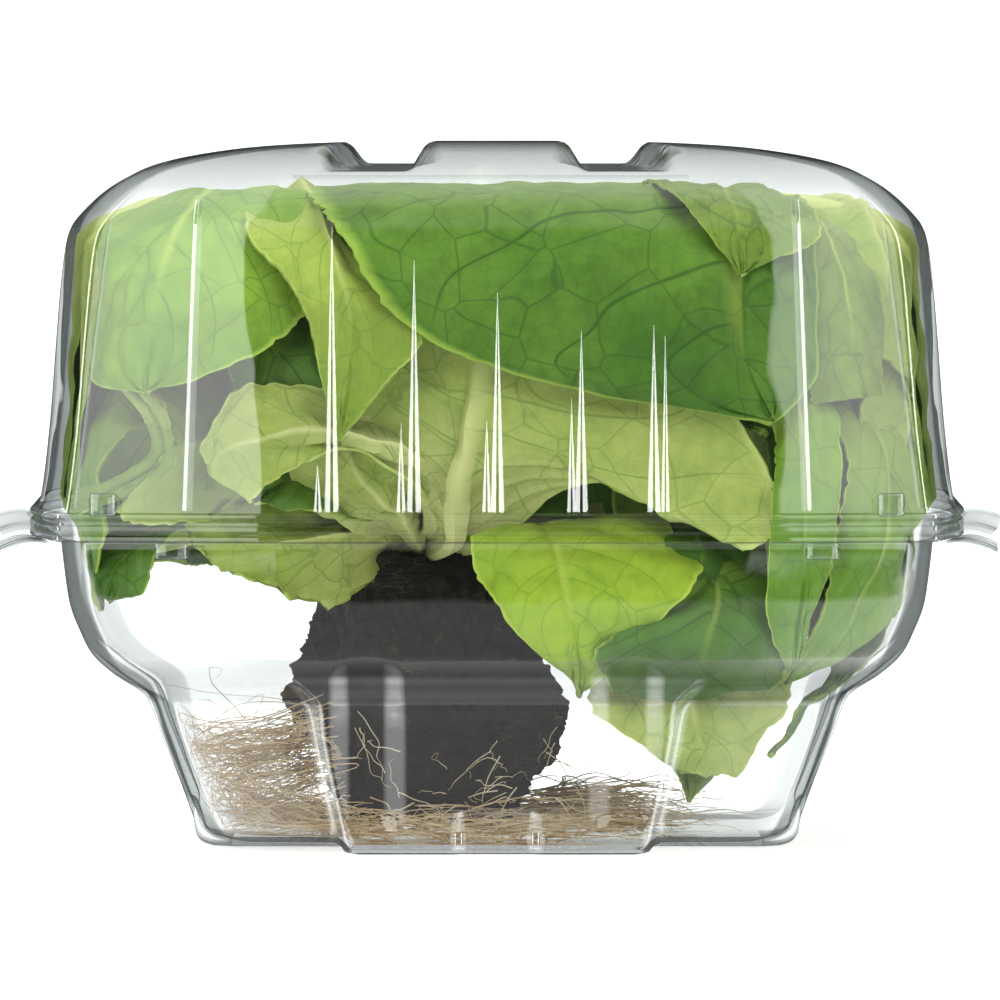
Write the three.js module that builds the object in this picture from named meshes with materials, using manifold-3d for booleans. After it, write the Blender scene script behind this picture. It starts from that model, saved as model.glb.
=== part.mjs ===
import * as THREE from "three";
import Module from "manifold-3d";

const wasm = await Module();
wasm.setup();
const { Manifold, Mesh } = wasm;

// Butterhead lettuce with its roots in a peat block, held in a clear hinged box. Millimetres, +Z up.
// The box front faces -Y and its hinge is at the back. The origin is on the table, below the middle.

// Driving sizes of the box
const WALL = 0.7; // thickness of the clear sheet
const SHELL_DETAIL = 0.02; // edges shorter than this are closed up
const GAP = 0.3; // play between pieces that only rest on each other
const RIM_HALF = 87.6; // half width across the two flanges
const BASE_RIM_TOP = 60.3;
const LID_RIM_BOTTOM = BASE_RIM_TOP + GAP;
const LID_FLANGE_TOP = 64.6;
const HINGE_Y = RIM_HALF + 0.6;
const HINGE_Z = 60.45;
const BASE_WALL = [[29.2, 65.5], [31.5, 72.5], [35, 77], [41, 79.2], [51, 80.8], [59.2, 82]];
const FOOT_WALL = [[2, 52], [4.5, 55.5], [16, 60.5], [30, 65.6]];
const LID_WALL = [[LID_FLANGE_TOP, 85.9], [83, 83.6], [100, 82.3], [114, 81], [120, 77.5], [125, 71.5],
  [128.2, 64.5], [130.6, 52], [132, 32]];
const LID_TOP = 132.6;
const LID_INSIDE_TOP = LID_TOP - WALL;

// Plan of the box: one quarter of a bowed square, as shares of the half size
const QUARTER = [[0, -1], [0.215, -1], [0.43, -1], [0.645, -1], [0.8, -0.973], [0.885, -0.954],
  [0.925, -0.925]];

// Two grooves run front to back in the lid's top, wider at the front
const GROOVE_FLOOR = 127.6;
const GROOVE_FRONT = [15.2, 34];
const GROOVE_BACK = [10, 26];
const GROOVE_FOOT_SPREAD = 2.4;

// Needle flutes on the lid's front: place across, tip height
const NEEDLES = [[-29.8, 118], [-15, 110], [0.2, 104.5], [15.8, 97], [30, 97]];
const NEEDLE_HALF = 1.3;
const NEEDLE_PROUD = 1.1;

// Bulge in the middle of each side of the foot: half width and reach by height
const BULGE = [[0, 29, 57], [3, 30.5, 60.5], [30.4, 33.8, 67.4]];

// Sizes of the plant
const STEM = [-15, -13];
const STEM_RADIUS = 6.5;
const STEM_FOOT = 49;
const STEM_TOP = 64;
const LEAF_THICK = 0.8;
const LEAF_ROWS = 7;
const LEAF_COLUMNS = 4;
const HEAD_DETAIL = 0.25; // edges shorter than this are closed up
const ROOT_HALF = 3.4;
const EDGE_WAVES = 2.6;
const LID_SWEEP = 171; // the leaves stay this near the hinge, so the lid's front clears them

// Half size that is free inside the box, by height
const INSIDE = [[0, 49], [3, 53], [8, 56.5], [28, 63.5], [31, 69], [36, 76], [45, 79], [59, 80.8], [65, 84.6],
  [83, 82.4], [114, 79.6], [121, 75.5], [126, 67.5], [129, 58]];

// Peat block: [height, centre x, centre y, half width, half depth, turn in degrees]
const PEAT = [[4.6, -17, -17, 17, 17, 12], [8, -18, -18, 23, 23, 12], [18, -18, -19, 28, 26, 14],
  [26, -16, -19, 28, 26, 16], [34, -15, -18, 25, 23, 17], [42, -15, -17, 21, 21, 18],
  [50, -15.5, -15, 17.5, 18, 18], [55.4, -16, -14, 13.5, 14, 18]];
const PEAT_SIDES = 24;

const COLORS = {
  clear: 0xe6eef0,
  leaf: 0x4f8a2a,
  peat: 0x2b211b,
  root: 0xb08a5a,
};

// Leaves placed by three curves each: the rib and the edges a and b, from the stem outwards.
// Every curve starts at the stem at the height root. The upper face looks along rib x (a to b).
const PLACED_LEAVES = [
  {
    name: "flop_front", root: 60, layer: 0.2, puff: 2, wave: 1.6,
    rib: [[16, 14, 88], [38, 10, 116], [52, -24, 124], [58, -60, 122], [60, -72, 112], [60, -76, 102],
      [59, -77, 92], [57, -77, 85.5]],
    a: [[-14, 10, 88], [-30, 4, 114], [-36, -28, 124], [-35, -60, 124], [-30, -73, 116], [-17, -77, 99],
      [12, -78, 90], [57, -77, 85]],
    b: [[24, 14, 86], [50, 8, 110], [66, -24, 116], [68, -56, 112], [68, -66, 104], [67, -70, 96],
      [64, -73, 90], [57, -77, 85]],
  },
  {
    name: "flop_left", root: 60, layer: 0.9, puff: 2, wave: 1.6,
    rib: [[-22, 10, 90], [-40, 4, 114], [-50, -22, 124], [-56, -52, 122], [-60, -66, 114],
      [-62, -71, 102], [-62, -73, 90]],
    a: [[-32, 14, 88], [-58, 14, 108], [-72, -18, 116], [-78, -46, 114], [-80, -58, 106],
      [-80, -62, 97], [-62, -73, 90]],
    b: [[-14, 8, 92], [-24, 0, 116], [-33, -28, 124], [-33, -56, 123], [-34, -66, 114], [-36, -71, 105],
      [-62, -73, 90]],
  },
  {
    name: "dark_left", root: 61, layer: 2.6, puff: 1.5, wave: 1.2,
    rib: [[-22, 4, 96], [-36, -20, 116], [-40, -50, 112], [-38, -62, 98], [-36, -66, 79.5]],
    a: [[-30, 4, 94], [-48, -20, 112], [-50, -50, 106], [-46, -60, 94], [-43, -64, 81.5]],
    b: [[-16, 4, 96], [-26, -20, 114], [-26, -50, 108], [-26, -62, 94], [-28, -66, 80.5]],
  },
  {
    name: "kite", root: 66, layer: 0.4, puff: 0.8, wave: 1,
    rib: [[-24, 4, 106], [-36, -30, 123], [-36, -58, 121], [-32, -72, 110], [-30, -76, 98],
      [-29.5, -77, 80.5]],
    a: [[-16, 2, 106], [-28, -30, 124], [-28, -60, 122], [-24, -73, 109], [-16, -77, 99],
      [-29.5, -77, 80.5]],
    b: [[-32, 4, 104], [-47, -32, 121], [-48, -58, 120], [-44, -71, 113], [-35.5, -75, 104],
      [-29.5, -77, 80.5]],
  },
  {
    name: "flap_top_right", root: 66, layer: 0, puff: 0.8, wave: 1,
    rib: [[36, 4, 112], [42, -34, 124], [44, -62, 122], [46, -73, 112]],
    a: [[44, 4, 112], [56, -32, 122], [56, -62, 119], [46, -73, 112]],
    b: [[29, 4, 112], [30, -36, 125], [33, -66, 123], [46, -73, 112]],
  },
  {
    name: "right_flap", root: 64, layer: 0.95, puff: 1, wave: 1.2,
    rib: [[46, 0, 108], [60, -36, 120], [64, -60, 114], [66, -68, 102], [65, -71, 89]],
    a: [[56, 2, 104], [72, -32, 114], [73, -56, 107], [71.5, -64, 98], [70.5, -66, 89]],
    b: [[38, -2, 108], [50, -38, 122], [55, -64, 118], [57, -73, 106], [59, -74, 89]],
  },
  {
    name: "corner_top_right", root: 64, layer: 1.8, puff: 1, wave: 1.4,
    rib: [[50, 8, 112], [66, -10, 118], [70, -44, 116], [68, -58, 112]],
    a: [[62, 14, 106], [76, -8, 110], [78, -42, 106], [76, -54, 102]],
    b: [[40, 2, 114], [56, -14, 122], [58, -46, 122], [60, -62, 114]],
  },
  {
    name: "under_flop", root: 62, layer: 2.2, puff: 0.6, wave: 0.8,
    rib: [[30, -20, 84], [44, -56, 90], [47, -66, 82], [50, -68, 78.5]],
    a: [[22, -22, 86], [33, -60, 90], [36, -66, 83], [50, -68, 78.5]],
    b: [[36, -16, 84], [54, -54, 92], [54, -64, 86], [50, -68, 78.5]],
  },
  {
    name: "outer_front", root: 57.5, layer: 2.6, puff: 1.6, wave: 1.2,
    rib: [[-8, -40, 60], [-7, -52, 67], [-6, -60, 75], [-4.5, -64, 83], [-3, -66, 92], [-1, -64, 104],
      [0, -56, 116]],
    a: [[-14, -40, 60.5], [-15, -52, 68], [-20, -60, 75], [-26, -63, 82], [-32, -62, 92],
      [-30, -60, 104], [-20, -54, 114]],
    b: [[2, -42, 60], [14, -58, 68.5], [32, -66, 68], [47, -71, 57], [52, -71, 66], [46, -70, 80],
      [20, -62, 106]],
  },
  {
    name: "front_left_lobe", root: 58.5, layer: 1, puff: 1.4, wave: 1.4,
    rib: [[-18, -58, 74], [-34, -70, 79], [-50, -71, 76], [-53, -71, 71]],
    a: [[-14, -56, 68], [-26, -69, 75.5], [-38, -71, 72.5], [-45, -71, 66]],
    b: [[-18, -56, 84], [-34, -64, 88], [-48, -66, 88], [-55, -70, 76]],
  },
  {
    name: "front_left_under", root: 58, layer: 2.8, puff: 1.2, wave: 1.2,
    rib: [[-18, -44, 64], [-26, -58, 72], [-30, -60, 82]],
    a: [[-28, -42, 60], [-38, -56, 68], [-38, -60, 79]],
    b: [[-12, -46, 66], [-16, -58, 74], [-20, -60, 83]],
  },
  {
    name: "low_left_dark", root: 58.5, layer: 2.4, puff: 0.8, wave: 1,
    rib: [[-28, -36, 66], [-38, -56, 70], [-45, -63, 66]],
    a: [[-32, -30, 72], [-42, -52, 76], [-45, -63, 66]],
    b: [[-24, -42, 62], [-34, -60, 64], [-45, -63, 66]],
  },
  {
    name: "left_fold", root: 58, layer: 1.4, puff: -2.5, wave: 0.8,
    rib: [[-36, -26, 74], [-52, -44, 76], [-57, -60, 77], [-60, -68, 77]],
    a: [[-34, -30, 64], [-52, -50, 62], [-66, -62, 62], [-72, -66, 64]],
    b: [[-40, -22, 86], [-56, -38, 90], [-66, -54, 91], [-69, -62, 89]],
  },
  {
    name: "left_corner", root: 60, layer: 0.6, puff: 1, wave: 1.2,
    rib: [[-50, -20, 92], [-70, -40, 90], [-77, -50, 72], [-77, -54, 60], [-74, -58, 47.5]],
    a: [[-56, -8, 92], [-78, -22, 88], [-81, -38, 74], [-81, -44, 58], [-74, -58, 47.5]],
    b: [[-44, -30, 84], [-64, -54, 76], [-72, -60, 68], [-70, -62, 57], [-74, -58, 47.5]],
  },
  {
    name: "left_low", root: 58, layer: 2.2, puff: 0.8, wave: 1,
    rib: [[-44, -30, 62], [-62, -46, 60], [-68, -52, 54], [-69, -52, 47.5]],
    a: [[-48, -26, 62], [-70, -42, 60], [-74, -48, 54], [-69, -52, 47.5]],
    b: [[-40, -34, 60], [-56, -52, 62], [-63, -56, 56], [-69, -52, 47.5]],
  },
  {
    name: "right_upright", root: 58, layer: 0.4, puff: 0.8, wave: 1,
    rib: [[34, -30, 88], [50, -58, 92], [56, -71, 84], [57, -74, 70], [57, -74, 54], [55, -68, 33]],
    a: [[30, -34, 82], [46, -62, 88], [51, -71, 79], [51, -73, 68], [50, -72, 45], [55, -68, 33]],
    b: [[40, -26, 92], [58, -52, 96], [63, -68, 84], [64, -72, 70], [61.5, -73, 54], [55, -68, 33]],
  },
  {
    name: "right_corner", root: 58, layer: 1.4, puff: 1, wave: 1.2,
    rib: [[48, -28, 92], [66, -50, 86], [73, -60, 72], [71, -62, 54], [62, -62, 38], [55, -64, 33]],
    a: [[42, -32, 88], [60, -60, 82], [65, -66, 70], [62, -67, 55], [58, -67, 42], [55, -64, 33]],
    b: [[54, -22, 94], [76, -38, 86], [81, -44, 72], [80, -46, 56], [74, -52, 43], [55, -64, 33]],
  },
  {
    name: "right_pale", root: 62, layer: 1.05, puff: 1, wave: 1,
    rib: [[50, -20, 100], [70, -42, 98], [76, -50, 84], [74, -56, 66]],
    a: [[56, -14, 102], [78, -30, 98], [82, -38, 84], [81, -44, 64]],
    b: [[44, -26, 98], [66, -54, 97], [68, -60, 84], [64, -62, 66]],
  },
  {
    name: "low_bright", root: 58, layer: 0.8, puff: 1.4, wave: 1,
    rib: [[6, -44, 61], [10, -62, 60], [12, -71, 53], [14, -73, 44], [16.5, -68, 30]],
    a: [[-2, -46, 58], [-5, -64, 59], [-3.5, -71, 53], [3, -73, 43], [16.5, -68, 30]],
    b: [[24, -42, 62], [34, -60, 60], [38, -69, 52], [27, -72, 41], [16.5, -68, 30]],
  },
  {
    name: "low_green", root: 58, layer: 0.2, puff: 1.4, wave: 1.4,
    rib: [[20, -40, 62], [36, -58, 60], [40, -68, 50], [38, -73, 40], [37, -68, 29]],
    a: [[20, -38, 58], [40, -60, 58], [27, -71, 47], [18, -74, 39], [22, -70, 31]],
    b: [[30, -30, 62], [50, -50, 62], [56, -62, 52], [56, -66, 42], [54, -66, 32]],
  },
  {
    name: "low_pale", root: 58, layer: 0.6, puff: 1.2, wave: 1.4,
    rib: [[6, -22, 58], [26, -30, 54], [34, -50, 42], [36, -58, 30], [38, -56, 20], [39, -52, 15]],
    a: [[10, -18, 58], [38, -26, 54], [52, -42, 44], [55, -52, 29], [50, -53, 22], [45, -51, 15]],
    b: [[4, -28, 58], [16, -36, 54], [18, -54, 40], [17.5, -62, 28], [25, -58, 22.5], [33, -52, 16]],
  },
  {
    name: "low_tip", root: 57.5, layer: 0.6, puff: 0.6, wave: 0.8,
    rib: [[10, -16, 55], [26, -26, 38], [34, -42, 20], [36, -46, 9.5]],
    a: [[8, -20, 55], [19, -30, 38], [31, -44, 20], [36, -46, 9.5]],
    b: [[12, -12, 55], [36, -22, 38], [44, -40, 20], [36, -46, 9.5]],
  },
  {
    name: "low_far_right", root: 57.5, layer: 0.6, puff: 0.6, wave: 0.8,
    rib: [[16, -10, 58], [50, -16, 48], [66, -36, 38], [60, -48, 27], [51, -48, 18]],
    a: [[14, -14, 58], [46, -22, 47], [62, -40, 36], [57, -49, 26], [51, -48, 18]],
    b: [[18, -6, 58], [54, -8, 50], [74, -26, 44], [64, -46, 30], [51, -48, 18]],
  },
  {
    name: "low_left", root: 57.5, layer: 1.2, puff: 1.2, wave: 1.8,
    rib: [[-30, -36, 58], [-42, -50, 58], [-57, -56, 58]],
    a: [[-29, -45, 52], [-46, -53, 49.5], [-57, -56, 57]],
    b: [[-28, -30, 66], [-44, -46, 68], [-58, -54, 62]],
  },
];

// Leaves that wrap over the sides and the back: direction in degrees, root height, drop height, half width
const WRAPPED_LEAVES = [
  { turn: 58, root: 61, drop: 62, half: 34, layer: 1.4 },
  { turn: 92, root: 58.5, drop: 40, half: 40, layer: 0.5 },
  { turn: 130, root: 60, drop: 60, half: 36, layer: 2.2 },
  { turn: 12, root: 59, drop: 42, half: 34, layer: 0.6 },
  { turn: 170, root: 59, drop: 44, half: 34, layer: 0.8 },
];

// Heart leaves that stand in the middle: direction, root height, lean outwards, height, half width
const HEART_LEAVES = [
  { turn: 250, root: 62, lean: 26, top: 116, half: 27 },
  { turn: 25, root: 62, lean: 30, top: 118, half: 28 },
  { turn: 140, root: 63, lean: 26, top: 119, half: 27 },
  { turn: 310, root: 63, lean: 16, top: 112, half: 22 },
  { turn: 80, root: 63, lean: 12, top: 108, half: 18 },
];

// Root strands that lie on the floor and up the left wall: three points each, then the radius
const STRANDS = [
  [[-22, -34, 6], [-40, -46, 14], [-55, -48, 19], 1.1],
  [[-30, -30, 8], [-44, -40, 17], [-57, -40, 22.5], 1],
  [[-26, -28, 4], [-46, -32, 10], [-57.5, -28, 17], 1.2],
  [[-24, -20, 3], [-44, -14, 8], [-57, -10, 14], 1.1],
  [[-20, -30, 3], [-40, -44, 3], [-52, -50, 9], 1.1],
  [[-18, -36, 3], [-30, -50, 2.8], [-44, -53, 6], 1],
  [[-8, -34, 3], [8, -46, 2.8], [24, -50, 4], 1.1],
  [[0, -28, 3], [20, -34, 2.8], [40, -40, 8], 1],
  [[2, -16, 3], [24, -20, 3], [46, -30, 10], 1.1],
  [[0, -8, 3], [22, -2, 3], [50, -8, 9], 1],
  [[-30, -4, 3], [-40, 14, 3], [-50, 28, 8], 1.1],
  [[-14, 2, 3], [-8, 24, 3], [-16, 48, 6], 1],
];
const STRAND_SIDES = 5;
const STRAND_STEPS = 6;
const MAT = [[1.4, 27, 24], [2.2, 33, 30], [3.4, 33, 30], [4.2, 26, 24]]; // height, half width, half depth

/** Solid from a list of points and triangles. */
function solidFrom(points, triangles) {
  const vertProperties = new Float32Array(points.flat());
  const triVerts = new Uint32Array(triangles.flat());
  return new Manifold(new Mesh({ numProp: 3, vertProperties, triVerts }));
}

/** Solid through closed rings of equal length, each ring counterclockwise seen from above, low one first. */
function ringSolid(rings) {
  const count = rings[0].length;
  const points = rings.flat();
  const triangles = [];
  for (let level = 0; level + 1 < rings.length; level++) {
    for (let k = 0; k < count; k++) {
      const here = level * count + k;
      const next = level * count + ((k + 1) % count);
      triangles.push([here, next, next + count], [here, next + count, here + count]);
    }
  }
  const last = (rings.length - 1) * count;
  const low = points.push(middleOf(rings[0])) - 1;
  const high = points.push(middleOf(rings[rings.length - 1])) - 1;
  for (let k = 0; k < count; k++) {
    const next = (k + 1) % count;
    triangles.push([low, next, k], [high, last + k, last + next]);
  }
  return solidFrom(points, triangles);
}

function middleOf(ring) {
  return [0, 1, 2].map((axis) => ring.reduce((sum, p) => sum + p[axis], 0) / ring.length);
}

/** One level of the box: the bowed square of the given half size. */
function planRing(height, half) {
  const ring = [];
  for (let quarter = 0; quarter < 4; quarter++) {
    const turn = (quarter * Math.PI) / 2;
    const start = mirrored(QUARTER).concat(QUARTER);
    for (const [x, y] of start) {
      ring.push([half * (x * Math.cos(turn) - y * Math.sin(turn)), half * (x * Math.sin(turn) + y * Math.cos(turn)),
        height]);
    }
  }
  return ring;
}

/** The left half of one side, from its corner to just before its middle. */
function mirrored(points) {
  return points.slice(1, 6).reverse().map(([x, y]) => [-x, y]);
}

function planSolid(wall) {
  return ringSolid(wall.map(([height, half]) => planRing(height, half)));
}

/** A wall with every corner moved inwards, square to the wall: by the sheet's thickness for its inside face. */
function inner(wall, by = WALL) {
  return wall.map(([height, half], k) => {
    const [z0, h0] = wall[Math.max(k - 1, 0)];
    const [z1, h1] = wall[Math.min(k + 1, wall.length - 1)];
    const length = Math.hypot(z1 - z0, h1 - h0);
    return [height + (by * (h1 - h0)) / length, half - (by * (z1 - z0)) / length];
  });
}

/** Four-sided ring at one height. */
function boxRing(height, x0, x1, y0, y1) {
  return [[x0, y0, height], [x1, y0, height], [x1, y1, height], [x0, y1, height]];
}

function block(x0, x1, y0, y1, z0, z1) {
  return ringSolid([boxRing(z0, x0, x1, y0, y1), boxRing(z1, x0, x1, y0, y1)]);
}

/** The two bulges that cross under the foot, thinner by the given inset. */
function footBulges(inset) {
  const along = BULGE.map(([z, half, reach]) => [z, half - inset, reach - inset]);
  along[0][0] += inset;
  along[2][0] += inset;
  const frontBack = ringSolid(along.map(([z, half, reach]) => boxRing(z, -half, half, -reach, reach)));
  return frontBack.add(frontBack.rotate([0, 0, 90]));
}

function buildBase() {
  const foot = planSolid(FOOT_WALL);
  const bowl = planSolid(BASE_WALL);
  const outside = foot.add(bowl).add(footBulges(0));
  const footInside = inner(FOOT_WALL);
  footInside[0][0] = FOOT_WALL[0][0] + WALL;
  const bowlInside = inner(BASE_WALL);
  bowlInside.push([BASE_RIM_TOP + 1, BASE_WALL[BASE_WALL.length - 1][1] - WALL]);
  const inside = planSolid(footInside).add(planSolid(bowlInside)).add(footBulges(WALL));
  const flange = planSolid([[BASE_RIM_TOP - 1.1, RIM_HALF], [BASE_RIM_TOP, RIM_HALF]]);
  return outside.add(flange).add(baseTabs()).add(baseLatches()).subtract(inside);
}

/** Finger tabs at the two front corners of the base. */
function baseTabs() {
  const tab = (side) => ringSolid([
    orderedRing([[side * 83, -77, 59.3], [side * 92, -79, 57.4], [side * 93, -66, 57.4], [side * 84, -60, 59.3]]),
    orderedRing([[side * 83, -77, 60.2], [side * 92, -79, 58.3], [side * 93, -66, 58.3], [side * 84, -60, 60.2]]),
  ]);
  return tab(-1).add(tab(1));
}

/** Finger tabs at the two front corners of the lid, drooping over those of the base. */
function lidTabs() {
  const tab = (side) => ringSolid([
    orderedRing([[side * 84.5, -79, 62.6], [side * 93, -81, 60.4], [side * 94.6, -65, 60.2], [side * 86, -59, 62.6]]),
    orderedRing([[side * 84.5, -79, 63.6], [side * 93, -81, 61.4], [side * 94.6, -65, 61.2], [side * 86, -59, 63.6]]),
  ]);
  return tab(-1).add(tab(1));
}

/** Keeps a ring counterclockwise after it was mirrored. */
function orderedRing(ring) {
  let area = 0;
  ring.forEach((p, k) => {
    const q = ring[(k + 1) % ring.length];
    area += p[0] * q[1] - q[0] * p[1];
  });
  return area > 0 ? ring : ring.slice().reverse();
}

/** Small press-in latches under the base's flange. */
function baseLatches() {
  return block(-63.7, -57, -83.6, -80, 55.4, 59.6).add(block(56.2, 63, -83.6, -80, 55.4, 59.6));
}

/** Small press-in latches above the lid's flange. */
function lidLatches() {
  return block(-75.2, -70.8, -86.6, -82.6, 64, 68.4).add(block(70.4, 76, -86.6, -82.6, 64, 68.4));
}

/** One groove in the lid's top. */
function groove(side, spread, floor) {
  const front = GROOVE_FRONT.map((x, k) => x + (k ? spread : -spread));
  const back = GROOVE_BACK.map((x, k) => x + (k ? spread : -spread));
  const ring = (height, slope) => orderedRing([
    [side * (front[0] + slope), -90, height], [side * (front[1] - slope), -90, height],
    [side * (back[1] - slope), 90, height], [side * (back[0] + slope), 90, height],
  ]);
  return ringSolid([ring(floor, GROOVE_FOOT_SPREAD), ring(LID_TOP + 2, 0)]);
}

function needles() {
  const y = (z) => -levelHalf(LID_WALL, z);
  const parts = NEEDLES.map(([x, tip]) => {
    const low = LID_FLANGE_TOP - 0.3;
    const points = [[x - NEEDLE_HALF, y(low) + 0.3, low], [x + NEEDLE_HALF, y(low) + 0.3, low],
      [x, y(low) - NEEDLE_PROUD, low], [x, y(tip) + 0.3, tip]];
    return solidFrom(points, [[0, 1, 2], [0, 2, 3], [2, 1, 3], [1, 0, 3]]);
  });
  return Manifold.union(parts);
}

function buildLid() {
  const top = LID_WALL.concat([[LID_TOP, 4]]);
  const body = planSolid(top).subtract(groove(-1, 0, GROOVE_FLOOR)).subtract(groove(1, 0, GROOVE_FLOOR));
  const skirt = planSolid([[LID_RIM_BOTTOM, RIM_HALF], [LID_FLANGE_TOP, RIM_HALF]]);
  const cavityWall = [[LID_FLANGE_TOP - 1.5, LID_WALL[0][1] - WALL], ...inner(LID_WALL), [LID_INSIDE_TOP, 4]];
  const cavity = planSolid(cavityWall)
    .subtract(groove(-1, WALL, GROOVE_FLOOR - WALL))
    .subtract(groove(1, WALL, GROOVE_FLOOR - WALL));
  const skirtInside = planSolid([[LID_RIM_BOTTOM - 1, RIM_HALF - WALL], [LID_FLANGE_TOP - WALL, RIM_HALF - WALL]]);
  return body.add(skirt).add(lidTabs()).add(lidLatches()).add(needles()).subtract(cavity).subtract(skirtInside);
}

/** Value of a [height, value] list at a height. */
function levelHalf(levels, height) {
  if (height <= levels[0][0]) return levels[0][1];
  for (let k = 1; k < levels.length; k++) {
    const [z0, h0] = levels[k - 1];
    const [z1, h1] = levels[k];
    if (height <= z1) return h0 + ((h1 - h0) * (height - z0)) / (z1 - z0);
  }
  return levels[levels.length - 1][1];
}

/** Point at share t of a smooth curve through the given points. */
function curvePoint(points, t) {
  const last = points.length - 1;
  const place = Math.min(Math.max(t, 0), 1) * last;
  const k = Math.min(Math.floor(place), last - 1);
  const f = place - k;
  const [p0, p1, p2, p3] = [-1, 0, 1, 2].map((step) => points[Math.min(Math.max(k + step, 0), last)]);
  return [0, 1, 2].map((axis) => 0.5 * (2 * p1[axis] + (p2[axis] - p0[axis]) * f
    + (2 * p0[axis] - 5 * p1[axis] + 4 * p2[axis] - p3[axis]) * f * f
    + (3 * p1[axis] - p0[axis] - 3 * p2[axis] + p3[axis]) * f * f * f));
}

const plus = (a, b, share = 1) => a.map((value, axis) => value + share * b[axis]);
const minus = (a, b) => a.map((value, axis) => value - b[axis]);
const crossOf = (a, b) => [a[1] * b[2] - a[2] * b[1], a[2] * b[0] - a[0] * b[2], a[0] * b[1] - a[1] * b[0]];
const unit = (a) => a.map((value) => value / Math.max(Math.hypot(...a), 1e-9));

/** Moves a leaf point inside the closed box and clear of the lid's swing. */
function keepInside([x, y, z], layer) {
  const margin = 1.4 + 1.3 * layer;
  const height = Math.min(Math.max(z, 1.6), 126 - 1.2 * layer);
  const half = levelHalf(INSIDE, height) - margin;
  const reach = Math.pow(Math.abs(x / half) ** 6 + Math.abs(y / half) ** 6, 1 / 6);
  let inX = x;
  let inY = y;
  if (reach > 1) {
    inX = x / reach;
    inY = y / reach;
  }
  const limit = LID_SWEEP - margin;
  if (height > 58 && Math.hypot(inY - HINGE_Y, height - HINGE_Z) > limit) {
    inY = HINGE_Y - Math.sqrt(Math.max(limit * limit - (height - HINGE_Z) ** 2, 0));
  }
  return [inX, inY, height];
}

/** The three curves of a leaf, each begun at the stem. */
function leafCurves(leaf) {
  const out = unit([leaf.rib[0][0] - STEM[0], leaf.rib[0][1] - STEM[1], 0]);
  const root = [STEM[0] + 3 * out[0], STEM[1] + 3 * out[1], leaf.root];
  const side = unit(minus(leaf.b[0], leaf.a[0]));
  return [[root, ...leaf.rib], [plus(root, side, -ROOT_HALF), ...leaf.a], [plus(root, side, ROOT_HALF), ...leaf.b]];
}

/** One thin leaf as a closed solid with the same triangles on both faces. */
function leafSolid(leaf) {
  const [rib, a, b] = leafCurves(leaf);
  const grid = [];
  for (let row = 0; row <= LEAF_ROWS; row++) {
    const u = row / LEAF_ROWS;
    const middle = curvePoint(rib, u);
    const edgeA = curvePoint(a, u);
    const edgeB = curvePoint(b, u);
    const along = unit(minus(curvePoint(rib, Math.min(u + 0.01, 1)), curvePoint(rib, Math.max(u - 0.01, 0))));
    const up = unit(crossOf(along, minus(edgeB, edgeA)));
    const line = [];
    for (let column = 0; column <= LEAF_COLUMNS; column++) {
      const v = (2 * column) / LEAF_COLUMNS - 1;
      const share = Math.abs(v);
      const swell = leaf.puff * 4 * share * (1 - share) * Math.min(1, 3 * u) * (1 - u ** 4);
      const ripple = leaf.wave * share ** 3 * Math.min(1, 2 * u)
        * Math.sin(2 * Math.PI * EDGE_WAVES * u + (v < 0 ? 0 : 2) + leaf.root);
      const flat = plus(middle, minus(v > 0 ? edgeB : edgeA, middle), share);
      line.push(keepInside(plus(flat, up, swell + ripple), leaf.layer));
    }
    grid.push(line);
  }
  return sheetSolid(grid, LEAF_THICK);
}

/** Closed solid of one thickness around a grid of points. */
function sheetSolid(grid, thick) {
  const rows = grid.length;
  const columns = grid[0].length;
  const tops = [];
  const bottoms = [];
  for (let i = 0; i < rows; i++) {
    for (let j = 0; j < columns; j++) {
      const along = minus(grid[Math.min(i + 1, rows - 1)][j], grid[Math.max(i - 1, 0)][j]);
      const across = minus(grid[i][Math.min(j + 1, columns - 1)], grid[i][Math.max(j - 1, 0)]);
      const normal = unit(crossOf(along, across));
      tops.push(plus(grid[i][j], normal, thick / 2));
      bottoms.push(plus(grid[i][j], normal, -thick / 2));
    }
  }
  const points = tops.concat(bottoms);
  const under = tops.length;
  const triangles = [];
  const at = (i, j) => i * columns + j;
  for (let i = 0; i + 1 < rows; i++) {
    for (let j = 0; j + 1 < columns; j++) {
      const quad = [at(i, j), at(i + 1, j), at(i + 1, j + 1), at(i, j + 1)];
      for (const [p, q, r] of [[0, 1, 2], [0, 2, 3]]) {
        triangles.push([quad[p], quad[q], quad[r]]);
        triangles.push([quad[r] + under, quad[q] + under, quad[p] + under]);
      }
    }
  }
  const rim = [];
  for (let i = 0; i + 1 < rows; i++) rim.push(at(i, 0));
  for (let j = 0; j + 1 < columns; j++) rim.push(at(rows - 1, j));
  for (let i = rows - 1; i > 0; i--) rim.push(at(i, columns - 1));
  for (let j = columns - 1; j > 0; j--) rim.push(at(0, j));
  rim.forEach((p, k) => {
    const q = rim[(k + 1) % rim.length];
    triangles.push([q, p, p + under], [q, p + under, q + under]);
  });
  return solidFrom(points, triangles);
}

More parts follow.
